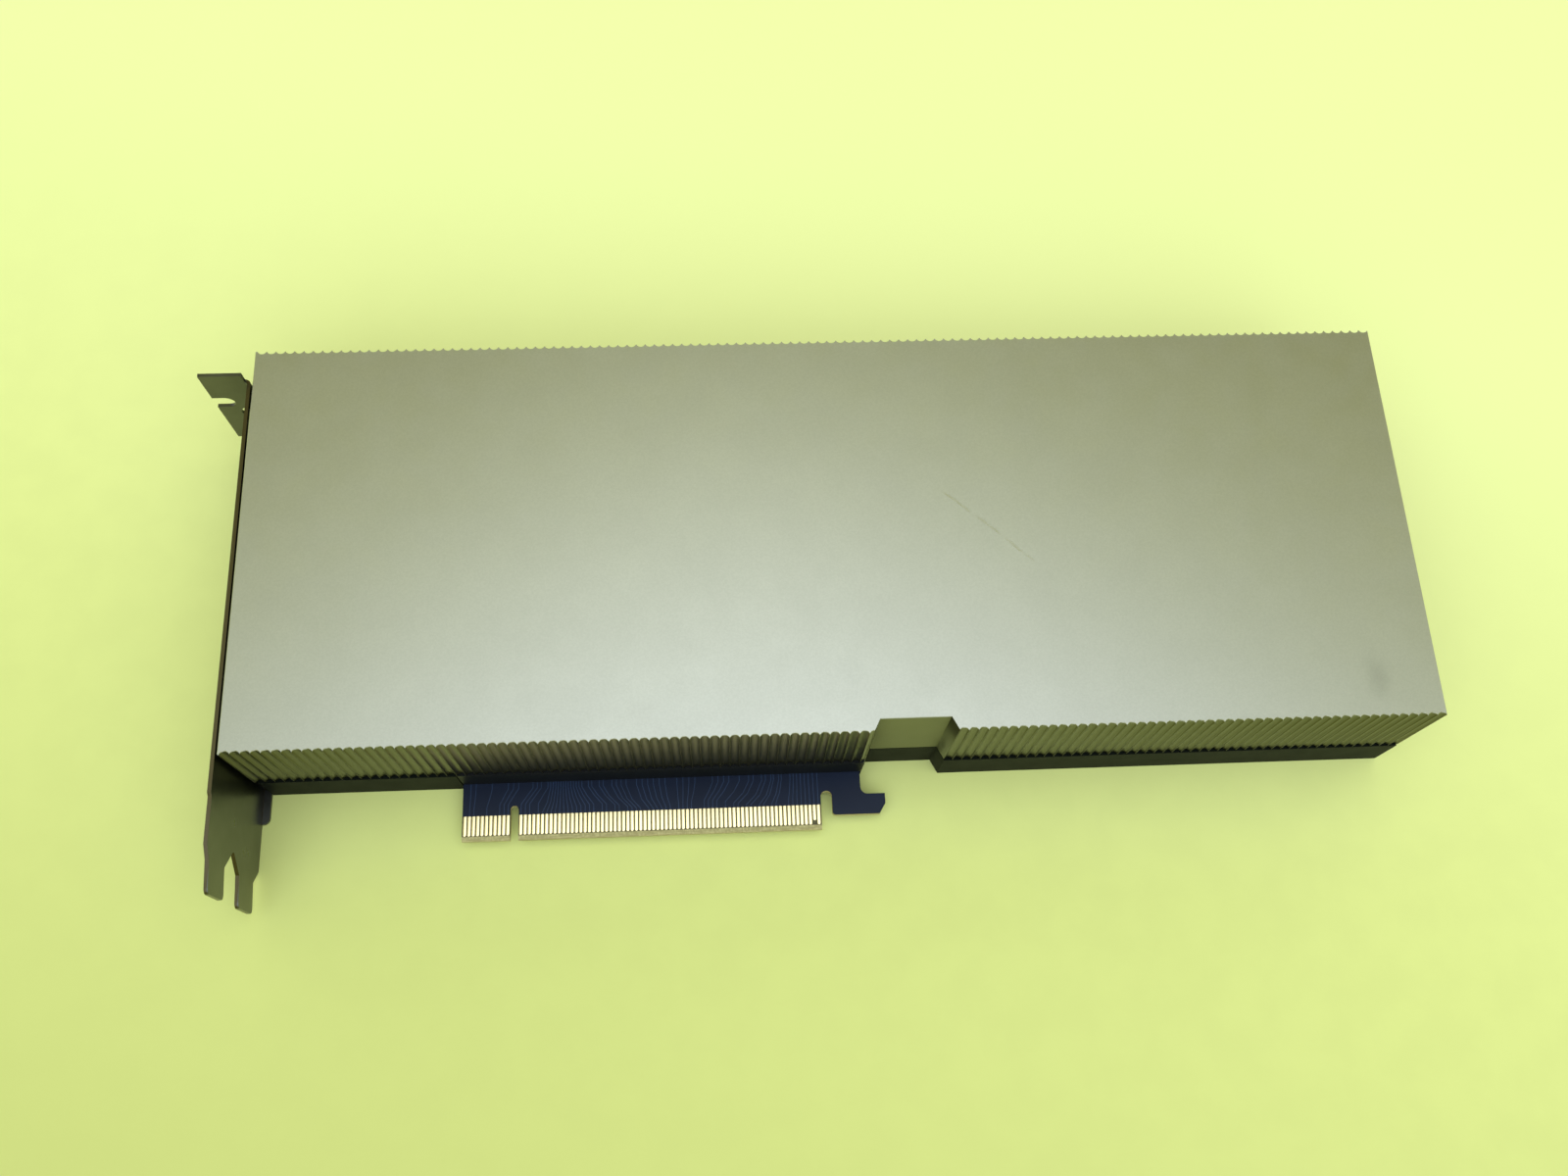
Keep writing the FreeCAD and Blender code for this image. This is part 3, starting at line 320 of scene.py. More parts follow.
@dataclass(frozen=True)
class AnodisedCover(Finish):
    """Bead-blasted, champagne anodised aluminium with a faint scratch and a smudge on its roof,
    and a painted shade on its walls.

    Attributes:
        top: height of the roof, where the wear is.
        wall: linear base colour of the upright faces, a painted shade that is darker and more olive
            than the roof.
        shaded_wall_fleck: colour of the sparkle on them.
        scratch: start and end of the scratch on the roof.
        scratched: linear base colour in the scratch.
        waver: how far the scratch strays from a straight line.
        burnish: how much less rough the scratch is.
        smudge: middle of the smudge.
        smudge_reach: how far it reaches.
        smudged: linear base colour in the smudge.
        wear: how much of their colour the scratch and the smudge give the roof.
        sparkle: lumps a metre of the blasted sparkle.
    """

    top: float = 0.039
    # Painted shade: the upright faces get a darker, more olive base colour and sparkle than the roof.
    wall: Colour = (0.115, 0.113, 0.06)
    shaded_wall_fleck: Colour = (0.1, 0.1, 0.075)
    scratch: tuple[tuple[float, float], tuple[float, float]] = ((0.024, 0.010), (0.052, -0.015))
    scratched: Colour = (0.22, 0.2, 0.16)
    waver: float = 1.6 * MM
    burnish: float = 0.08
    smudge: tuple[float, float] = (0.1198, -0.0392)
    smudge_reach: float = 7.5 * MM
    smudged: Colour = (0.16, 0.16, 0.14)
    wear: float = 0.22
    sparkle: float = 2600.0

    def _scratch(self, graph: Graph) -> Wire:
        """The scratch: near its line, between its ends, and broken here and there.

        Args:
            graph: the material's nodes.

        Returns:
            1 on the scratch and 0 off it.
        """
        (x0, y0), (x1, y1) = self.scratch
        long = math.hypot(x1 - x0, y1 - y0)
        ux, uy = (x1 - x0) / long, (y1 - y0) / long
        dx, dy = graph.place("X") - x0, graph.place("Y") - y0
        along = dx * ux + dy * uy
        stray = (graph.noise(graph.place(), 60.0) - 0.5) * self.waver
        line = abs(dx * uy - dy * ux + stray).step(0.45 * MM, 0.1 * MM)
        ends = along.step(0.0, 4 * MM) * along.step(long, long - 6 * MM)
        return line * ends * graph.noise(graph.place(), 260.0).step(0.36, 0.6)

    def _smudge(self, graph: Graph) -> Wire:
        """The smudge, narrower along the card: distance from its middle, with a ragged edge.

        Args:
            graph: the material's nodes.

        Returns:
            1 in its middle, fading to 0.
        """
        dx = (graph.place("X") - self.smudge[0]) * 1.8
        dy = graph.place("Y") - self.smudge[1]
        ragged = (graph.noise(graph.place(), 300.0, 3.0) - 0.5) * (4 * MM)
        return ((dx * dx + dy * dy) ** 0.5 + ragged).step(self.smudge_reach, 0.0)

    def _on_roof(self, graph: Graph) -> Wire:
        """1 on the roof's outer face and 0 below it."""
        return graph.place("Z").step(self.top - 0.3 * MM, self.top - 0.1 * MM)

    def base(self, graph: Graph) -> Wire:
        """Plain clouds, the blasted sparkle and the wear on level faces, and a painted shade on
        upright ones: darker, more olive colours in place of the metal's own.

        Args:
            graph: the material's nodes.

        Returns:
            The colour.
        """
        fleck = graph.noise(graph.place(), self.sparkle, 1.0).step(0.25, 0.75)
        dark = tuple(channel * 0.72 for channel in self.colour)
        flecked = graph.mix(fleck * 0.22, super().base(graph), dark)
        roof = self._on_roof(graph) * self.wear
        dulled = graph.mix(self._smudge(graph) * roof, flecked, self.smudged)
        worn = graph.mix(self._scratch(graph) * roof, dulled, self.scratched)
        # Painted shade: faces that stand upright take the darker wall colours in place of the roof's.
        upright = graph.facing("Z").step(0.6, 0.2)
        return graph.mix(upright, worn, graph.mix(fleck * 0.2, self.wall, self.shaded_wall_fleck))

    def gloss(self, graph: Graph) -> Wire:
        """Satin, a little glossier on the scratch's burnished line."""
        return super().gloss(graph) - self._scratch(graph) * self._on_roof(graph) * self.burnish


@dataclass(frozen=True)
class BoardMask(Finish):
    """Dark blue solder mask over glass laminate, bare round the contacts and at its edges.

    Attributes:
        bare_from: where the bare laminate round the contacts starts, towards the tip.
        bevel_from: where the bevel starts.
        bare_ends: span of the contacts along the card.
        resin: linear colour of the laminate between its glass threads.
        glass: linear colour of the threads.
        gap: linear colour of the shaded laminate between the contacts.
        gap_shade: how much of that colour is there.
        weave: lumps a metre across the threads.
    """

    bare_from: float = 0.0
    bevel_from: float = 0.0
    bare_ends: tuple[float, float] = (0.0, 0.0)
    resin: Colour = linear(162, 152, 104)
    glass: Colour = linear(188, 179, 128)
    gap: Colour = (0.02, 0.016, 0.008)
    gap_shade: float = 0.8
    weave: float = 3200.0

    def _laminate(self, graph: Graph) -> Wire:
        """Colour of the laminate: woven glass in resin, two crossed sets of long lumps.

        Args:
            graph: the material's nodes.

        Returns:
            The colour.
        """
        across = graph.noise(graph.place(stretch=(1, 0.12, 1)), self.weave, 1.0)
        along = graph.noise(graph.place(stretch=(0.12, 1, 1)), self.weave, 1.0)
        return graph.mix((across * along).step(0.15, 0.4), self.resin, self.glass)

    def _is_edge(self, graph: Graph) -> Wire:
        """1 where the surface isn't level: the cut edges and the bevel."""
        return graph.facing("Z", "True Normal").step(0.97, 0.9)

    def base(self, graph: Graph) -> Wire:
        """Mask, laminate between the contacts, and the cut edges.

        Args:
            graph: the material's nodes.

        Returns:
            The colour.
        """
        along, across = graph.place("X"), graph.place("Y")
        low, high = self.bare_ends
        row = along.step(low - 0.5 * MM, low - 0.3 * MM) * \
            along.step(high + 0.5 * MM, high + 0.3 * MM)
        bare = across.step(self.bare_from + 0.1 * MM, self.bare_from - 0.1 * MM) * row
        between = graph.mix(self.gap_shade, self._laminate(graph), self.gap)
        shown = graph.mix(bare, super().base(graph), between)
        bevel = across.step(self.bevel_from, self.bevel_from - 0.2 * MM)
        return graph.mix(self._is_edge(graph).most(bevel), shown, self._laminate(graph))

    def gloss(self, graph: Graph) -> Wire:
        """Glossy mask and dull cut edges."""
        return super().gloss(graph) + self._is_edge(graph) * 0.3


@dataclass(frozen=True)
class RolledSteel(Finish):
    """Plated sheet with faint rolling lines and browner sheared edges.

    Attributes:
        edge_colour: linear base colour of the plating where the plate was sheared.
        plate: the plate's outer face, along X.
        sheet: how far the tint reaches from that face.
        rolling: lumps a metre of the rolling lines.
    """

    edge_colour: Colour = (0.09, 0.075, 0.04)
    plate: float = -0.1362
    sheet: float = 1.2 * MM
    rolling: float = 1800.0

    def base(self, graph: Graph) -> Wire:
        """The plating, browner on the faces round the plate that don't face along X.

        Args:
            graph: the material's nodes.

        Returns:
            The colour.
        """
        along = graph.place("X")
        inner = self.plate + self.sheet
        in_plate = along.step(self.plate, self.plate + 0.1 * MM) * along.step(inner, inner - 0.1 * MM)
        flank = graph.facing("X").step(0.7, 0.3)
        return graph.mix(flank * in_plate, super().base(graph), self.edge_colour)

    def relief(self, graph: Graph) -> Wire:
        """Fine grain with long, shallow rolling lines along Y."""
        lines = graph.noise(graph.place(stretch=(1, 0.02, 1)), self.rolling)
        return lines * 0.6 + super().relief(graph) * 0.4


@dataclass(frozen=True)
class Paper(Finish):
    """Matt paper with painted light and shade: paler behind the card and darker towards its
    near left corner.

    Attributes:
        pale: linear base colour far behind the card, a painted light.
        dark: linear base colour in front of its left end, a painted shade.
    """

    pale: Colour = linear(243, 250, 172)
    dark: Colour = linear(200, 207, 122)

    def base(self, graph: Graph) -> Wire:
        """Three colours along a slanted line over the floor: the plain paper, a painted shade
        towards the near left and a painted light behind the card.

        Args:
            graph: the material's nodes.

        Returns:
            The colour.
        """
        # Painted light and shade: the floor darkens towards the near left and pales behind the card.
        slant = graph.place("Y") * 0.9 + graph.place("X") * 0.3
        nearer = graph.mix(slant.step(0.0, -0.24), super().base(graph), self.dark)
        return graph.mix(slant.step(-0.06, 0.12), nearer, self.pale)


class Finishes(Enum):
    """Every plain finish of the card, by what it is on."""

    TRAY = Finish("tray_dark_satin", (0.006, 0.008, 0.006), 0.0, 0.5, grain=3000.0, depth=3e-6,
                  shine=0.04)
    FRAME = Finish("frame_satin_black", (0.004, 0.005, 0.006), 0.0, 0.42, depth=4e-6, shine=0.15)
    BRACKET = RolledSteel("bracket_dark_nickel", (0.11, 0.112, 0.1), 1.0, 0.3, mottle=0.1)
    GOLD = Finish("contact_gold", (0.97, 0.8, 0.46), 1.0, 0.24, unevenness=0.1, mottle=0.05,
                  stretch=(1.0, 0.2, 1.0))
    FIN = Finish("fin_aluminium", (0.72, 0.73, 0.74), 1.0, 0.34, stretch=(0.05, 1.0, 1.0))
    CHAMBER = Finish("chamber_nickel", (0.62, 0.58, 0.52), 1.0, 0.3, mottle=0.08)
    STEEL = Finish("plain_sheet_steel", (0.5, 0.5, 0.49), 1.0, 0.38)
    SCREW = Finish("screw_black_oxide", (0.035, 0.036, 0.04), 0.8, 0.36, mottle=0.2)
    PLASTIC = Finish("socket_black_nylon", (0.014, 0.014, 0.015), 0.0, 0.46, depth=6e-6)
    SUBSTRATE = Finish("substrate_green", (0.02, 0.09, 0.045), 0.0, 0.32, coat=0.3)
    SILICON = Finish("silicon_mirror", (0.1, 0.105, 0.12), 0.7, 0.12, depth=2e-7)
    MOULDED = Finish("moulded_black", (0.018, 0.018, 0.019), 0.0, 0.55, depth=5e-6)
    SOFT = Finish("soft_pad_grey", (0.3, 0.36, 0.42), 0.0, 0.8, mottle=0.12, depth=2e-5)
    FERRITE = Finish("ferrite_grey", (0.05, 0.05, 0.052), 0.2, 0.5, mottle=0.2, depth=1e-5)
    FILM = Finish("insulating_film", (0.012, 0.012, 0.012), 0.0, 0.25)


# --------------------------------------------------------------------------- mesh helpers
def mesh_piece(name: str, points: np.ndarray, faces: Sequence, material: bpy.types.Material,
               stands_for: Sequence[str] = (), sharp: float = 40.0) -> bpy.types.Object:
    """Make a finished piece from the points and faces of a closed surface. Its faces are
    turned outwards last.

    Args:
        name: the piece's name.
        points: N by 3 array of metres.
        faces: rows of point numbers.
        material: its material.
        stands_for: the nodes that it replaces.
        sharp: edges that turn more than this many degrees stay sharp.

    Returns:
        The object, riding on the card.
    """
    mesh = bpy.data.meshes.new(name)
    mesh.from_pydata(np.asarray(points, float).tolist(), [], [list(map(int, f)) for f in faces])
    made = finish_mesh(name, mesh, material, stands_for, sharp)
    form = bmesh.new()
    form.from_mesh(mesh)
    bmesh.ops.recalc_face_normals(form, faces=form.faces)
    form.to_mesh(mesh)
    form.free()
    return made


def finish_mesh(name: str, mesh: bpy.types.Mesh, material: bpy.types.Material,
                stands_for: Sequence[str], sharp: float) -> bpy.types.Object:
    """Shade a mesh, dress it and let it ride on the card.

    Args:
        name: the piece's name.
        mesh: the mesh, in the card's frame.
        material: its material.
        stands_for: the nodes that it replaces.
        sharp: edges that turn more than this many degrees stay sharp.

    Returns:
        The object.
    """
    mesh.validate()
    mesh.polygons.foreach_set("use_smooth", np.ones(len(mesh.polygons), bool))
    mesh.set_sharp_from_angle(angle=math.radians(sharp))
    mesh.materials.clear()
    mesh.materials.append(material)
    mesh.update()
    made = bpy.data.objects.new(name, mesh)
    bpy.context.scene.collection.objects.link(made)
    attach(made, "root")
    if stands_for:
        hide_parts(*stands_for)
    return made


def grid_faces(rows: int, columns: int, closed: bool, start: int = 0) -> np.ndarray:
    """Quads of a grid of points.

    Args:
        rows: points along the sweep.
        columns: points along the section.
        closed: whether the section is a loop.
        start: number of the grid's first point.

    Returns:
        An array of quads, facing outwards where the section runs anticlockwise seen against
        the sweep.
    """
    row, column = np.meshgrid(np.arange(rows - 1), np.arange(columns if closed else columns - 1),
                              indexing="ij")
    following = (column + 1) % columns
    quads = np.stack([row * columns + column, row * columns + following,
                      (row + 1) * columns + following, (row + 1) * columns + column], axis=-1)
    return start + quads.reshape(-1, 4)


def eased_copy(node: str, name: str, width: float, material: bpy.types.Material,
               sharp: float = 35.0) -> bpy.types.Object:
    """Copy a solid's mesh, merge its flats and ease its sharp edges with a small round. Normals
    weighted by area keep the flats level beside the rounds.

    Args:
        node: the solid that the copy stands for.
        name: the piece's name.
        width: width of the round, in metres.
        material: its material.
        sharp: edges that turn more than this many degrees are eased.

    Returns:
        The object.
    """
    form = bmesh.new()
    form.from_mesh(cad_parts[node].data)
    bmesh.ops.remove_doubles(form, verts=form.verts, dist=MERGE)
    bmesh.ops.dissolve_limit(form, angle_limit=math.radians(FLAT), verts=form.verts, edges=form.edges)
    edges = [e for e in form.edges
             if len(e.link_faces) == 2 and e.calc_face_angle(0.0) > math.radians(sharp)]
    bmesh.ops.bevel(form, geom=edges, offset=width, offset_type="OFFSET", segments=2, profile=0.6,
                    affect="EDGES", clamp_overlap=True)
    mesh = bpy.data.meshes.new(name)
    form.to_mesh(mesh)
    form.free()
    made = finish_mesh(name, mesh, material, [node], 50.0)
    weigh = made.modifiers.new("level_flats", "WEIGHTED_NORMAL")
    weigh.keep_sharp = True
    weigh.weight = 100
    return made


def dress(node: str, material: bpy.types.Material) -> None:
    """Give a solid that stays in view its material.

    Args:
        node: the solid.
        material: its material.
    """
    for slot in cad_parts[node].material_slots:
        slot.material = material
    log.info("%s keeps its solid, finish %s", node, material.name)


def span(node: str) -> tuple[np.ndarray, np.ndarray]:
    """Lowest and highest corner of a solid as arrays."""
    low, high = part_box(node)
    return np.array(low), np.array(high)


# --------------------------------------------------------------------------- sub-assemblies
@dataclass
class FlutedCover:
    """The aluminium cover: a roof and two fluted walls, with the latch recess.

    Attributes:
        pitch: crest to crest.
        depth: depth of a flute.
        land: flat before the first flute.
        facets: steps along one flute.
        wall: thickness of the walls from their crests.
        roof: thickness of the roof.
        rim: width of the broken edges.
        underside: height of the walls' lower edge.
        recess: the recess's middle from the bracket end, its half widths at the mouth and at
            the back, and its depth.
        crest: the flats on the crests, as a depth below the arcs' meeting points.
        lug_length: screw lugs along the card.
        lug_start: screw lugs' outer face below the wall, from the crests.
        lug_reach: screw lugs' inner face from the crests.
        lug_height: screw lugs above the walls' lower edge.
        lug_root: how far a lug's upper part goes into the wall.
        lug_rise: how far that part stays above the walls' lower edge.
        screw_lead: the outer screws' middles from the cover's ends.
    """

    pitch: float = 2.173 * MM
    depth: float = 0.72 * MM
    land: float = 0.421 * MM
    facets: int = 10
    wall: float = 2.6 * MM
    roof: float = 1.6 * MM
    rim: float = 0.14 * MM
    underside: float = 12.75 * MM
    recess: tuple[float, float, float, float] = (149.8 * MM, 9.5 * MM, 7.85 * MM, 3.3 * MM)
    crest: float = 0.03 * MM
    lug_length: float = 6.4 * MM
    lug_start: float = 4.3 * MM
    lug_reach: float = 8.5 * MM
    lug_height: float = 4.6 * MM
    lug_root: float = 0.05 * MM
    lug_rise: float = 0.02 * MM
    screw_lead: float = 9.0 * MM

    @property
    def radius(self) -> float:
        """Radius of a flute's arc, whose chord is the pitch and whose rise is the depth."""
        return (self.pitch**2 / 4 + self.depth**2) / (2 * self.depth)

    def build(self) -> None:
        """Build the shell and the lugs inside it, both in the cover's finish."""
        low, high = span("shroud_cover")
        # The cover's finish paints shade on its upright walls.
        finish = AnodisedCover("cover_champagne_shaded_walls", (0.44, 0.445, 0.415), 1.0, 0.32, 0.025, 0.015,
                               2200.0, 7e-6, top=high[2]).material()
        self._shell(low, high, finish)
        self._lugs(low, high, finish)

    def _stations(self, long: float) -> np.ndarray:
        """Places along the card: evenly spaced angles along each flute's arc, both sides of
        the crests' tiny flats, the recess's corners and the eased ends.

        Args:
            long: length of the cover.

        Returns:
            The places in rising order, from the bracket end.
        """
        count = int(round((long - self.land) / self.pitch))
        turns = np.linspace(-1, 1, self.facets + 1)
        half = math.asin(self.pitch / 2 / self.radius)
        arc = self.radius * np.sin(half * turns)
        arc[[0, -1]] *= 0.97
        middles = self.land + (np.arange(count) + 0.5) * self.pitch
        middle, mouth, back, _ = self.recess
        corners = [middle - mouth, middle - back, middle + back, middle + mouth]
        ends = [0.0, self.rim, long - self.rim, long]
        places = np.concatenate([(middles[:, None] + arc).ravel(), corners, ends])
        places = np.sort(places[(places >= 0) & (places <= long)])
        return places[np.concatenate([[True], np.diff(places) > NEAR])]

    def _flute(self, x: np.ndarray) -> np.ndarray:
        """Depth of the wall's face below its outermost line: an arc of a circle over each pitch,
        held flat at the crests.

        Args:
            x: places along the card.

        Returns:
            The depth at each.
        """
        off = (x - self.land) % self.pitch - self.pitch / 2
        sunk = np.sqrt(np.maximum(self.radius**2 - off**2, 0)) - (self.radius - self.depth)
        return np.where(x < self.land, 0.0, np.maximum(sunk, self.crest))

    def _recess(self, x: np.ndarray) -> np.ndarray:
        """Depth of the latch recess: a trapezoid in x, zero outside its mouth."""
        middle, mouth, back, depth = self.recess
        return np.clip((mouth - np.abs(x - middle)) / (mouth - back), 0, 1) * depth

    def _shell(self, low: np.ndarray, high: np.ndarray, material: bpy.types.Material) -> None:
        """Sweep a U-shaped section along the card. At each station the section is a loop of
        twelve points: up the near face, over the roof, down the far face, and back along
        the inside. Only the faces' places change from station to station.

        Args:
            low: lowest corner of the cover.
            high: its highest corner.
            material: its material.
        """
        long, wide, top = high[0] - low[0], high[1] - low[1], high[2]
        x = self._stations(long)
        notch = self._recess(x)
        near = np.maximum(self._flute(x), notch)
        far = self._flute(x)
        inner = self.wall + notch
        eased = np.where((x < self.rim * 0.5) | (x > long - self.rim * 0.5), self.rim, 0.0)
        ceiling = top - self.roof
        rim, foot = self.rim, self.underside
        columns = [
            (near + rim + eased, foot), (near + eased, foot + rim), (near + eased, top - rim),
            (near + rim + eased, top - eased), (wide - far - rim - eased, top - eased),
            (wide - far - eased, top - rim), (wide - far - eased, foot + rim),
            (wide - far - rim - eased, foot), (wide - self.wall + eased, foot),
            (wide - self.wall + eased, ceiling + eased), (inner - eased, ceiling + eased),
            (inner - eased, foot),
        ]
        section = np.empty((len(x), len(columns), 3))
        section[:, :, 0] = x[:, None]
        for index, (y, z) in enumerate(columns):
            section[:, index, 1] = y
            section[:, index, 2] = z
        points = section.reshape(-1, 3) + (low[0], low[1], 0)
        faces = [list(q) for q in grid_faces(len(x), len(columns), True)[:, ::-1]]
        caps = [(0, 1, 2, 3, 10, 11), (3, 4, 9, 10), (4, 5, 6, 7, 8, 9)]
        last = (len(x) - 1) * len(columns)
        faces += [list(cap) for cap in caps] + [[last + n for n in reversed(cap)] for cap in caps]
        mesh_piece("cover_shell", points, faces, material,
                   ["shroud_cover"], 28.0)
        log.info("cover_shell: %d stations, stands for shroud_cover", len(x))

    def _lugs(self, low: np.ndarray, high: np.ndarray, material: bpy.types.Material) -> None:
        """Six screw lugs inside the walls: a stepped profile, with a foot on the board and a
        root in the wall, carried along the card and mirrored for the far wall.

        Args:
            low: lowest corner of the cover.
            high: its highest corner.
            material: its material.
        """
        long, wide = high[0] - low[0], high[1] - low[1]
        root, shoulder = self.wall - self.lug_root, self.underside + self.lug_rise
        top = self.underside + self.lug_height
        near = np.array([(root, shoulder), (self.lug_start, shoulder), (self.lug_start, low[2]),
                         (self.lug_reach, low[2]), (self.lug_reach, top), (root, top)])
        far = near[::-1] * (-1, 1) + (wide, 0)
        n = len(near)
        ends = low[0] + np.array([[-0.5], [0.5]]) * self.lug_length
        blocks, faces = [], []
        for x in np.linspace(self.screw_lead, long - self.screw_lead, 3):
            for side in (near, far):
                start = 2 * n * len(blocks)
                block = np.empty((2, n, 3))
                block[:, :, 0] = x + ends
                block[:, :, 1:] = side + (low[1], 0)
                blocks.append(block.reshape(-1, 3))
                faces += [list(quad) for quad in grid_faces(2, n, True, start)]
                faces += [[start + i for i in reversed(range(n))],
                          [start + n + i for i in range(n)]]
        mesh_piece("cover_lugs", np.concatenate(blocks), faces, material)
        log.info("cover_lugs: %d lugs", len(blocks))


@dataclass
class EdgeConnector:
    """The board with its contacts and the traces under its mask.

    Attributes:
        pitch: contact to contact.
        width: contact.
        key_after: contacts on the bracket side of the key.
        over_key: contact to contact across the key.
        count: contacts on a face.
        proud: thickness of the plating.
        rounding: points round a contact's lower end.
        bevel: the bevelled strip at the tip.
        short_by: what the one short contact of each face lacks.
        trace_width: width of a trace at its foot.
        trace_top: width of its top, as a share of that.
        trace_proud: how far a trace lifts the mask.
        trace_missing: share of contacts without one.
        trace_shift: the farthest that a trace slants along the card.
        trace_wave: length of a radian of the sine wave of the slants.
        trace_taper: how far from both ends of the row the traces slant less.
        bend_wave: length of a radian of the wave of the places where they start to slant.
        by_key: contacts on each side of the key whose traces pass straight beside it.
    """

    pitch: float = 1.0 * MM
    width: float = 0.7 * MM
    key_after: int = 11
    over_key: float = 3.0 * MM
    count: int = 82
    proud: float = 0.05 * MM
    rounding: int = 6
    bevel: float = 1.15 * MM
    short_by: float = 1.0 * MM
    trace_width: float = 0.17 * MM
    trace_top: float = 0.72
    trace_proud: float = 0.018 * MM
    trace_missing: float = 0.15
    trace_shift: float = 3.8 * MM
    trace_wave: float = 9.0 * MM
    trace_taper: float = 16.0 * MM
    bend_wave: float = 4.0 * MM
    by_key: int = 5

    def build(self) -> None:
        """Dress the board and build its contacts and traces."""
        low, high = span("main_board")
        pads_low, pads_high = span("edge_contacts_front")
        mask = BoardMask("board_blue_mask", linear(15, 26, 48), 0.0, 0.38, 0.05, 0.12, 3500.0,
                         4e-6, shine=0.2, bare_from=pads_high[1],
                         bevel_from=low[1] + self.bevel,
                         bare_ends=(pads_low[0], pads_high[0])).material()
        dress("main_board", mask)
        gold = Finishes.GOLD.value.material()
        self._contacts("contacts_front", "edge_contacts_front", high[2], 1, 80, gold)
        self._contacts("contacts_back", "edge_contacts_back", low[2], -1, 0, gold)
        raised = Finish("traces_under_mask", linear(40, 58, 88), 0.0, 0.3, 0.05, 0.1, 3500.0,
                        3e-6, shine=0.3).material()
        self._traces(high[2], pads_high[1], raised)

    def _middles(self, low_x: float) -> np.ndarray:
        """Middles of the contacts along the card: even steps with a longer one at the key.

        Args:
            low_x: the row's end at the bracket.

        Returns:
            One place a contact.
        """
        index = np.arange(self.count)
        gap = np.where(index >= self.key_after, self.over_key - self.pitch, 0.0)
        return low_x + self.width / 2 + index * self.pitch + gap

    def _contacts(self, name: str, node: str, face: float, side: int, short: int,
                  material: bpy.types.Material) -> None:
        """Thin plates with a half-round lower end: straight sides, then a half circle of the
        contact's own width, lifted by the plating's thickness with an eased upper edge.

        Args:
            name: the piece's name.
            node: the solids that it replaces.
            face: height of the board's face.
            side: 1 on the upper face, -1 on the lower one.
            short: number of the short contact.
            material: the plating.
        """
        low, high = span(node)
        middles = self._middles(low[0])
        turn = np.linspace(0, math.pi, self.rounding + 1)
        radius = self.width / 2
        ring_x = np.concatenate([[-radius], -radius * np.cos(turn), [radius]])
        ring_y = np.concatenate([[high[1] - low[1]], radius - radius * np.sin(turn),
                                 [high[1] - low[1]]])
        n = len(ring_x)
        lift = np.array([0.0, 0.7, 1.0]) * self.proud * side
        shrink = np.array([0.0, 0.0, 0.04]) * MM
        points = np.empty((self.count, 3, n, 3))
        for level in range(3):
            share = 1 - shrink[level] / radius
            points[:, level, :, 0] = middles[:, None] + ring_x * share
            points[:, level, :, 1] = low[1] + ring_y
            points[:, level, :, 2] = face + lift[level]
        points[short, :, 1:-1, 1] += self.short_by
        quads = grid_faces(3, n, True)
        one = [list(q) for q in quads] + [list(range(n))[::-1], [2 * n + i for i in range(n)]]
        faces = [[index * 3 * n + corner for corner in f]
                 for index in range(self.count) for f in one]
        mesh_piece(name, points.reshape(-1, 3), faces, material, [node], 50.0)
        log.info("%s: %d contacts, stand for %s", name, self.count, node)

    def _traces(self, face: float, pads_top: float, material: bpy.types.Material) -> None:
        """Ribbons from the contacts towards the card: straight, slanted, then straight again.
        How far one slants is a slow sine wave along the card, so that neighbours never cross.
        A ribbon's section is a flat-topped ridge, carried along a path of five points.

        Args:
            face: height of the board's upper face.
            pads_top: the contacts' upper end.
            material: the mask over the traces.
        """
        low, _ = span("edge_contacts_front")
        end = span("inner_frame")[0][1]
        middles = self._middles(low[0])
        kept = np.random.default_rng(11).random(self.count) >= self.trace_missing
        x = middles[kept]
        along = x - low[0]
        taper = np.minimum(1, np.minimum(x - middles[0], middles[-1] - x) / self.trace_taper)
        shift = self.trace_shift * np.sin(along / self.trace_wave + 0.6) * taper
        beside = np.abs(np.arange(self.count)[kept] - self.key_after + 0.5) < self.by_key
        bend = np.where(beside, 0.33, 0.16 + 0.1 * np.sin(along / self.bend_wave))
        shares = np.array([0.0, 0.0, 0.3, 0.82, 1.0]) + bend[:, None] * (0, 1, 1, 0, 0)
        path = np.stack([x[:, None] + shift[:, None] * (0, 0, 0.6, 1, 1),
                         pads_top + (end - pads_top) * shares], axis=2)
        heading = np.gradient(path, axis=1)
        across = np.stack([heading[:, :, 1], -heading[:, :, 0]], axis=2)
        across *= self.trace_width / np.linalg.norm(across, axis=2, keepdims=True)
        ridge = np.array([-0.5, -0.5 * self.trace_top, 0.5 * self.trace_top, 0.5])
        rows, n = len(ridge), path.shape[1]
        points = np.empty((len(x), rows, n, 3))
        points[..., :2] = path[:, None] + across[:, None] * ridge[:, None, None]
        points[..., 2] = face + np.array([[0.0], [1.0], [1.0], [0.0]]) * self.trace_proud
        foot = np.arange(n - 1)
        last = (rows - 1) * n
        one = np.concatenate([
            grid_faces(rows, n, False),
            [n * np.arange(rows), n * np.arange(rows)[::-1] + n - 1],
            np.stack([foot, last + foot, last + foot + 1, foot + 1], axis=1),
        ])
        faces = (np.arange(len(x))[:, None, None] * rows * n + one).reshape(-1, 4)
        mesh_piece("board_traces", points.reshape(-1, 3), faces, material, (), 20.0)
        log.info("board_traces: %d traces", len(x))


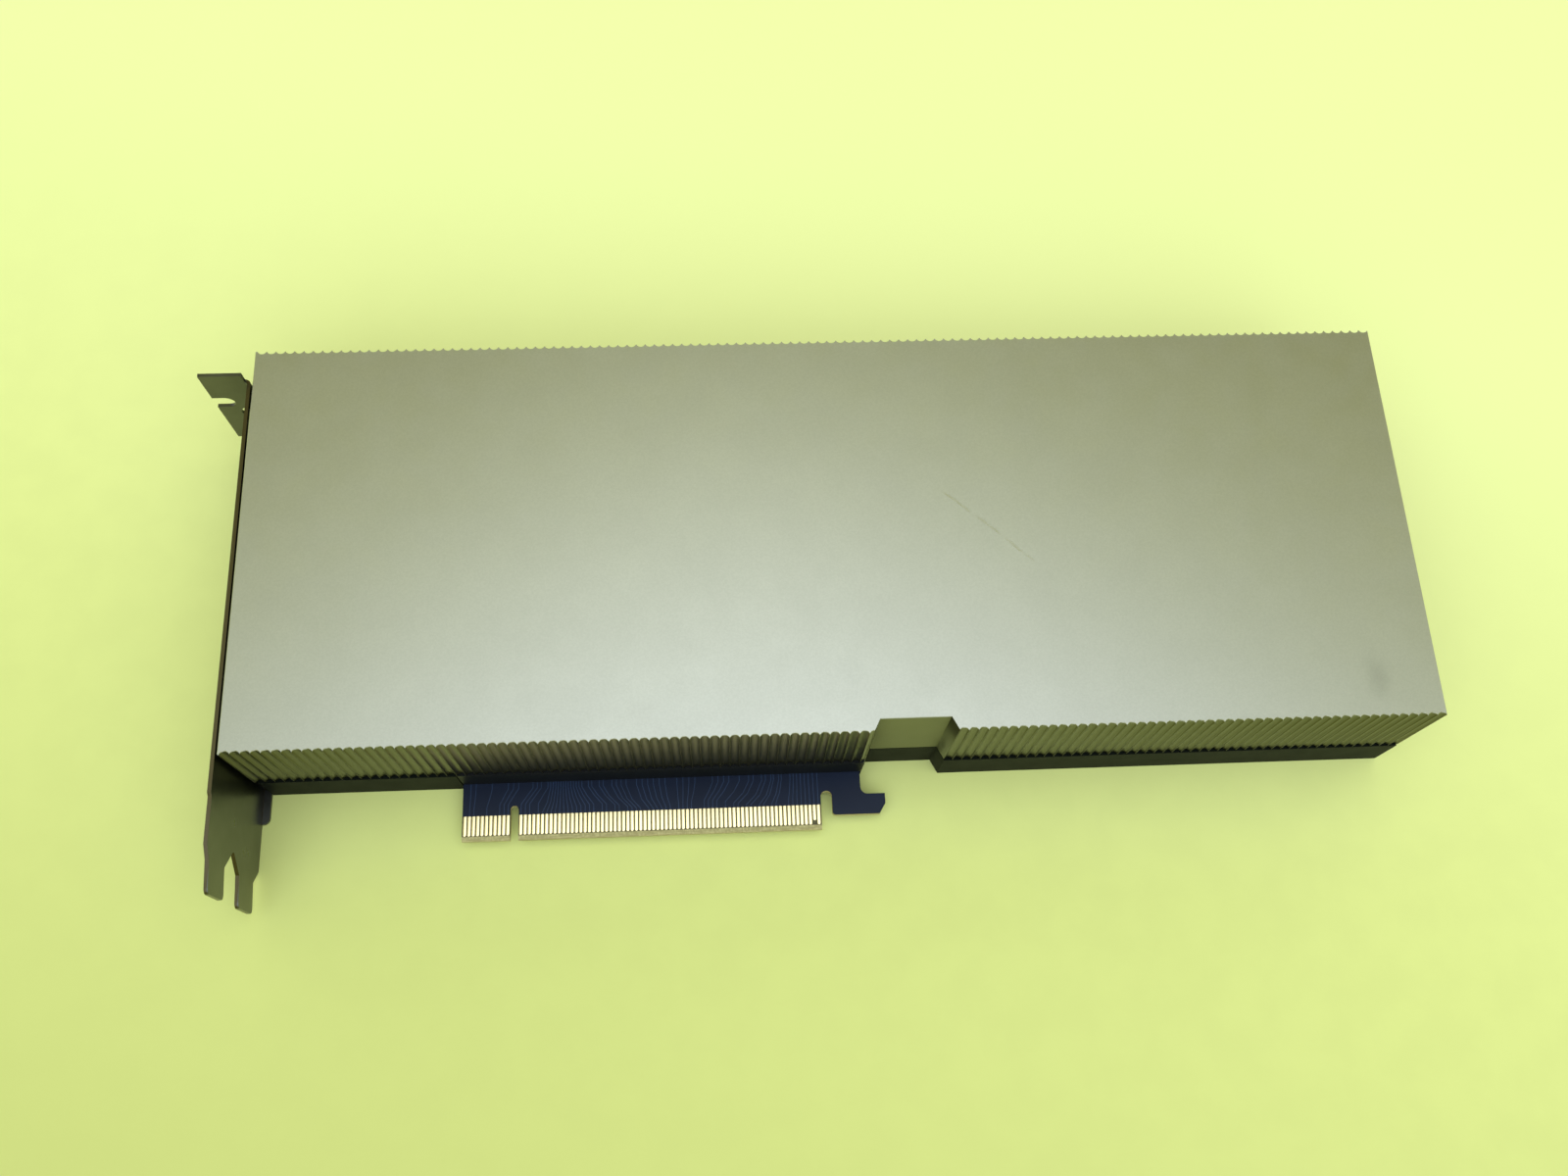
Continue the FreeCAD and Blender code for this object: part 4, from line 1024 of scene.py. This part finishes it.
@dataclass
class ScrewSet:
    """Low-headed screws with a six-lobed socket.

    Attributes:
        head: radius of the head.
        lobes: mean radius of the socket.
        lobe_count: lobes round the socket.
        lobe_swing: how far the socket's wall swings in and out, as a share of that radius.
        sunk: depth of the socket.
        rim: the socket's broken edge.
        ease: the head's eased edge.
        shank: radius of the shank.
        point: length of its pointed end.
        apart: screws of a group are at least this far apart.
        sides: points round a screw.
    """

    head: float = 2.4 * MM
    lobes: float = 1.05 * MM
    lobe_count: int = 6
    lobe_swing: float = 0.16
    sunk: float = 0.42 * MM
    rim: float = 0.06 * MM
    ease: float = 0.12 * MM
    shank: float = 1.25 * MM
    point: float = 0.4 * MM
    apart: float = 6.0 * MM
    sides: int = 36

    def build(self, node: str, name: str, axis: int) -> None:
        """Turn a profile round the axis of each screw of a group. A lobed ring's radius is its
        mean times 1 plus a cosine with a wave for each lobe.

        Args:
            node: the group of screws.
            name: the piece's name.
            axis: the screws' axis, 0 for X and 2 for Z. Their heads face its low end.
        """
        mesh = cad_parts[node].data
        spots = np.empty(3 * len(mesh.vertices), np.float32)
        mesh.vertices.foreach_get("co", spots)
        spots = spots.reshape(-1, 3).astype(float)
        others = [a for a in range(3) if a != axis]
        levels = spots[:, axis]
        groups = self._middles(spots[levels - levels.min() < NEAR][:, others])
        back = np.unique(np.round(levels, 6))[1]
        rows = np.array(self._rows(levels.min(), back, levels.max()))
        radius, height, lobed = rows.T[:, :, None]
        turn = np.linspace(0, math.tau, self.sides, endpoint=False)
        ring = radius * (1 + lobed * self.lobe_swing * np.cos(self.lobe_count * turn))
        points = np.empty((len(groups), *ring.shape, 3))
        points[..., axis] = height
        faces = []
        for index, middle in enumerate(groups):
            points[index, ..., others[0]] = middle[0] + ring * np.cos(turn)
            points[index, ..., others[1]] = middle[1] + ring * np.sin(turn)
            start = index * ring.size
            last = start + ring.size - self.sides
            faces += [list(quad) for quad in grid_faces(len(rows), self.sides, True, start)]
            faces += [[start + i for i in reversed(range(self.sides))],
                      [last + i for i in range(self.sides)]]
        mesh_piece(name, points.reshape(-1, 3), faces, Finishes.SCREW.value.material(),
                   [node], 35.0)
        log.info("%s: %d screws, stand for %s", name, len(groups), node)

    def _middles(self, rim: np.ndarray) -> list[np.ndarray]:
        """Middles of the clusters of points that lie near each other.

        Args:
            rim: points on the heads' faces, across the screws' axis.

        Returns:
            One middle a screw.
        """
        left, found = rim.copy(), []
        while len(left):
            near = np.linalg.norm(left - left[0], axis=1) < self.apart
            group = left[near]
            found.append((group.min(axis=0) + group.max(axis=0)) / 2)
            left = left[~near]
        return found

    def _rows(self, face: float, back: float, tip: float) -> list[tuple[float, float, float]]:
        """The profile of a screw, from the socket's floor out over the head's eased edge and
        down the shank to its pointed end.

        Args:
            face: the head's face, along the axis.
            back: the head's back.
            tip: the shank's end.

        Returns:
            Radius, height and lobing of each ring.
        """
        return [
            (self.lobes * 0.92, face + self.sunk, 1.0),
            (self.lobes, face + 0.05 * MM, 1.0),
            (self.lobes + self.rim, face, 0.8),
            (self.head - self.ease, face, 0.0),
            (self.head, face + self.ease, 0.0),
            (self.head, back, 0.0),
            (self.shank, back, 0.0),
            (self.shank, tip - self.point, 0.0),
            (self.shank * 0.7, tip, 0.0),
        ]


@dataclass
class Shell:
    """Backplate tray, inner frame and film: the dark parts under the cover.

    Attributes:
        ease: round on the sheet's edges.
    """

    ease: float = 0.16 * MM

    def build(self) -> None:
        """Ease the tray's and the frame's edges and dress them."""
        eased_copy("backplate_tray", "tray_sheet", self.ease, Finishes.TRAY.value.material())
        eased_copy("inner_frame", "frame_ring", self.ease, Finishes.FRAME.value.material())
        dress("insulator_sheet", Finishes.FILM.value.material())
        log.info("tray_sheet and frame_ring stand for their solids")


@dataclass
class Bracket:
    """The folded bracket, its edges eased as stamping leaves them, and its screws.

    Attributes:
        ease: round on the sheet's edges.
    """

    ease: float = 0.1 * MM

    def build(self) -> None:
        """Ease the sheet's edges and put in its screws."""
        eased_copy("io_bracket", "bracket_sheet", self.ease, Finishes.BRACKET.value.material())
        ScrewSet(lobes=1.0 * MM).build("bracket_screws", "bracket_screw_set", 0)
        log.info("bracket_sheet stands for io_bracket")


@dataclass
class Internals:
    """What the cover hides or shows only through its open ends.

    Attributes:
        ease: round on the socket's edges.
        finishes: the finish of each solid that stays as it is.
    """

    ease: float = 0.15 * MM
    finishes: dict[str, Finishes] = field(default_factory=lambda: {
        "fin_stack": Finishes.FIN,
        "vapour_chamber": Finishes.CHAMBER,
        "processor_substrate": Finishes.SUBSTRATE,
        "processor_die": Finishes.SILICON,
        "memory_stacks": Finishes.SILICON,
        "stiffener_ring": Finishes.STEEL,
        "power_stages": Finishes.MOULDED,
        "stage_pads": Finishes.SOFT,
        "power_chokes": Finishes.FERRITE,
        "choke_pads": Finishes.SOFT,
        "output_capacitors": Finishes.MOULDED,
        "power_pins": Finishes.GOLD,
        "retention_plate": Finishes.STEEL,
    })

    def build(self) -> None:
        """Dress the solids, ease the socket and finish the screws."""
        for node, finish in self.finishes.items():
            dress(node, finish.value.material())
        eased_copy("power_socket", "power_socket_body", self.ease,
                   Finishes.PLASTIC.value.material())
        ScrewSet().build("cover_screws", "cover_screw_set", 2)
        ScrewSet().build("processor_screws", "processor_screw_set", 2)


# --------------------------------------------------------------------------- the stage
@dataclass
class Stage:
    """Paper floor, one soft lamp, the room's light and the camera.

    Attributes:
        paper: linear base colour of the paper.
        paper_half: half the side of the sheet.
        paper_drop: how far the sheet lies under the card.
        lamp_place: where the lamp hangs. It faces the origin.
        lamp_size: its two sides.
        lamp_watts: its power.
        lamp_colour: its colour.
        sky_lean: how much the room's bright part leans towards the card's near side.
        sky_fall: how much the room darkens to both sides.
        sky_middle: where along X it is brightest.
        sky_tones: its colours, from the lowest level to the highest.
        lens: focal length in millimetres.
        camera_place: where the camera stands.
        camera_turn: its turns about X, Y and Z in degrees.
    """

    paper: Colour = linear(228, 236, 150)
    paper_half: float = 3.0
    paper_drop: float = 0.1 * MM
    lamp_place: tuple[float, float, float] = (0.12, 0.1, 1.5)
    lamp_size: tuple[float, float] = (1.2, 0.7)
    lamp_watts: float = 1.6
    lamp_colour: Colour = (0.95, 1.0, 1.02)
    sky_lean: float = 0.5
    sky_fall: float = 0.12
    sky_middle: float = 0.1
    sky_tones: tuple[tuple[float, Colour], ...] = (
        (0.0, (0.8, 0.82, 0.76)), (0.25, (0.7, 0.71, 0.6)), (0.4, (0.3, 0.29, 0.04)),
        (0.52, (0.36, 0.34, 0.0)), (0.6, (0.54, 0.56, 0.08)), (0.7, (0.94, 1.0, 0.5)),
        (0.82, (1.4, 1.54, 1.64)), (1.0, (1.46, 1.6, 1.76)))
    lens: float = 33.5
    camera_place: tuple[float, float, float] = (-0.026902, -0.129409, 0.345625)
    camera_turn: tuple[float, float, float] = (20.630, -1.946, -2.413)

    def build(self) -> None:
        """Put everything in place."""
        self._floor()
        self._lamp()
        self._sky()
        self._camera()

    def _floor(self) -> None:
        """A wide sheet of paper just under the card."""
        half, drop = self.paper_half, self.paper_drop
        corners = [(-half, -half, -drop), (half, -half, -drop), (half, half, -drop),
                   (-half, half, -drop)]
        mesh = bpy.data.meshes.new("paper_floor")
        mesh.from_pydata(corners, [], [(0, 1, 2, 3)])
        # The paper's finish paints light behind the card and shade towards its near left.
        mesh.materials.append(Paper("paper", self.paper, 0.0, 0.85, 0.02, 0.015, 900.0,
                                    2e-5).material())
        floor = bpy.data.objects.new("paper_floor", mesh)
        bpy.context.scene.collection.objects.link(floor)

    def _lamp(self) -> None:
        """A large soft lamp high over the card."""
        data = bpy.data.lights.new("key_soft", "AREA")
        data.shape = "RECTANGLE"
        data.size, data.size_y = self.lamp_size
        data.energy = self.lamp_watts
        data.color = self.lamp_colour
        lamp = bpy.data.objects.new("key_soft", data)
        lamp.location = self.lamp_place
        lamp.rotation_euler = Vector(self.lamp_place).to_track_quat("Z", "Y").to_euler()
        bpy.context.scene.collection.objects.link(lamp)

    def _sky(self) -> None:
        """A room that is bright overhead and towards the card's near side, olive lower down and
        pale again near the horizon. The level that picks the colour is Z less shares of Y and
        of the distance from the middle in X."""
        world = bpy.data.worlds.new("room")
        bpy.context.scene.world = world
        world.use_nodes = True
        world.node_tree.nodes.clear()
        graph = Graph(world.node_tree)
        ray = graph.add("TexCoord", output="Generated")
        x, y, z = (graph.add("SeparateXYZ", None, {0: ray}, output=axis) for axis in "XYZ")
        level = z - y * self.sky_lean - abs(x - self.sky_middle) * self.sky_fall
        tone = graph.add("ValToRGB", {"stops": self.sky_tones}, {0: level})
        graph.end("OutputWorld", graph.add("Background", None, {"Color": tone, "Strength": 1.0}))

    def _camera(self) -> None:
        """The camera, over the near side and turned down to the card."""
        data = bpy.data.cameras.new("view_camera")
        data.lens, data.sensor_width = self.lens, 36.0
        data.clip_start, data.clip_end = 0.01, 20.0
        camera = bpy.data.objects.new("view_camera", data)
        camera.location = self.camera_place
        camera.rotation_euler = Euler([math.radians(turn) for turn in self.camera_turn])
        bpy.context.scene.collection.objects.link(camera)
        bpy.context.scene.camera = camera


def main() -> None:
    """Build the card's sub-assemblies in order, then the stage."""
    logging.basicConfig(level=logging.INFO, format="%(name)s: %(message)s")
    bpy.context.scene.view_settings.view_transform = "Standard"
    for part in (FlutedCover(), Shell(), EdgeConnector(), Bracket(), Internals(), Stage()):
        part.build()
        log.info("%s done", type(part).__name__)


if __name__ == "__main__":
    main()
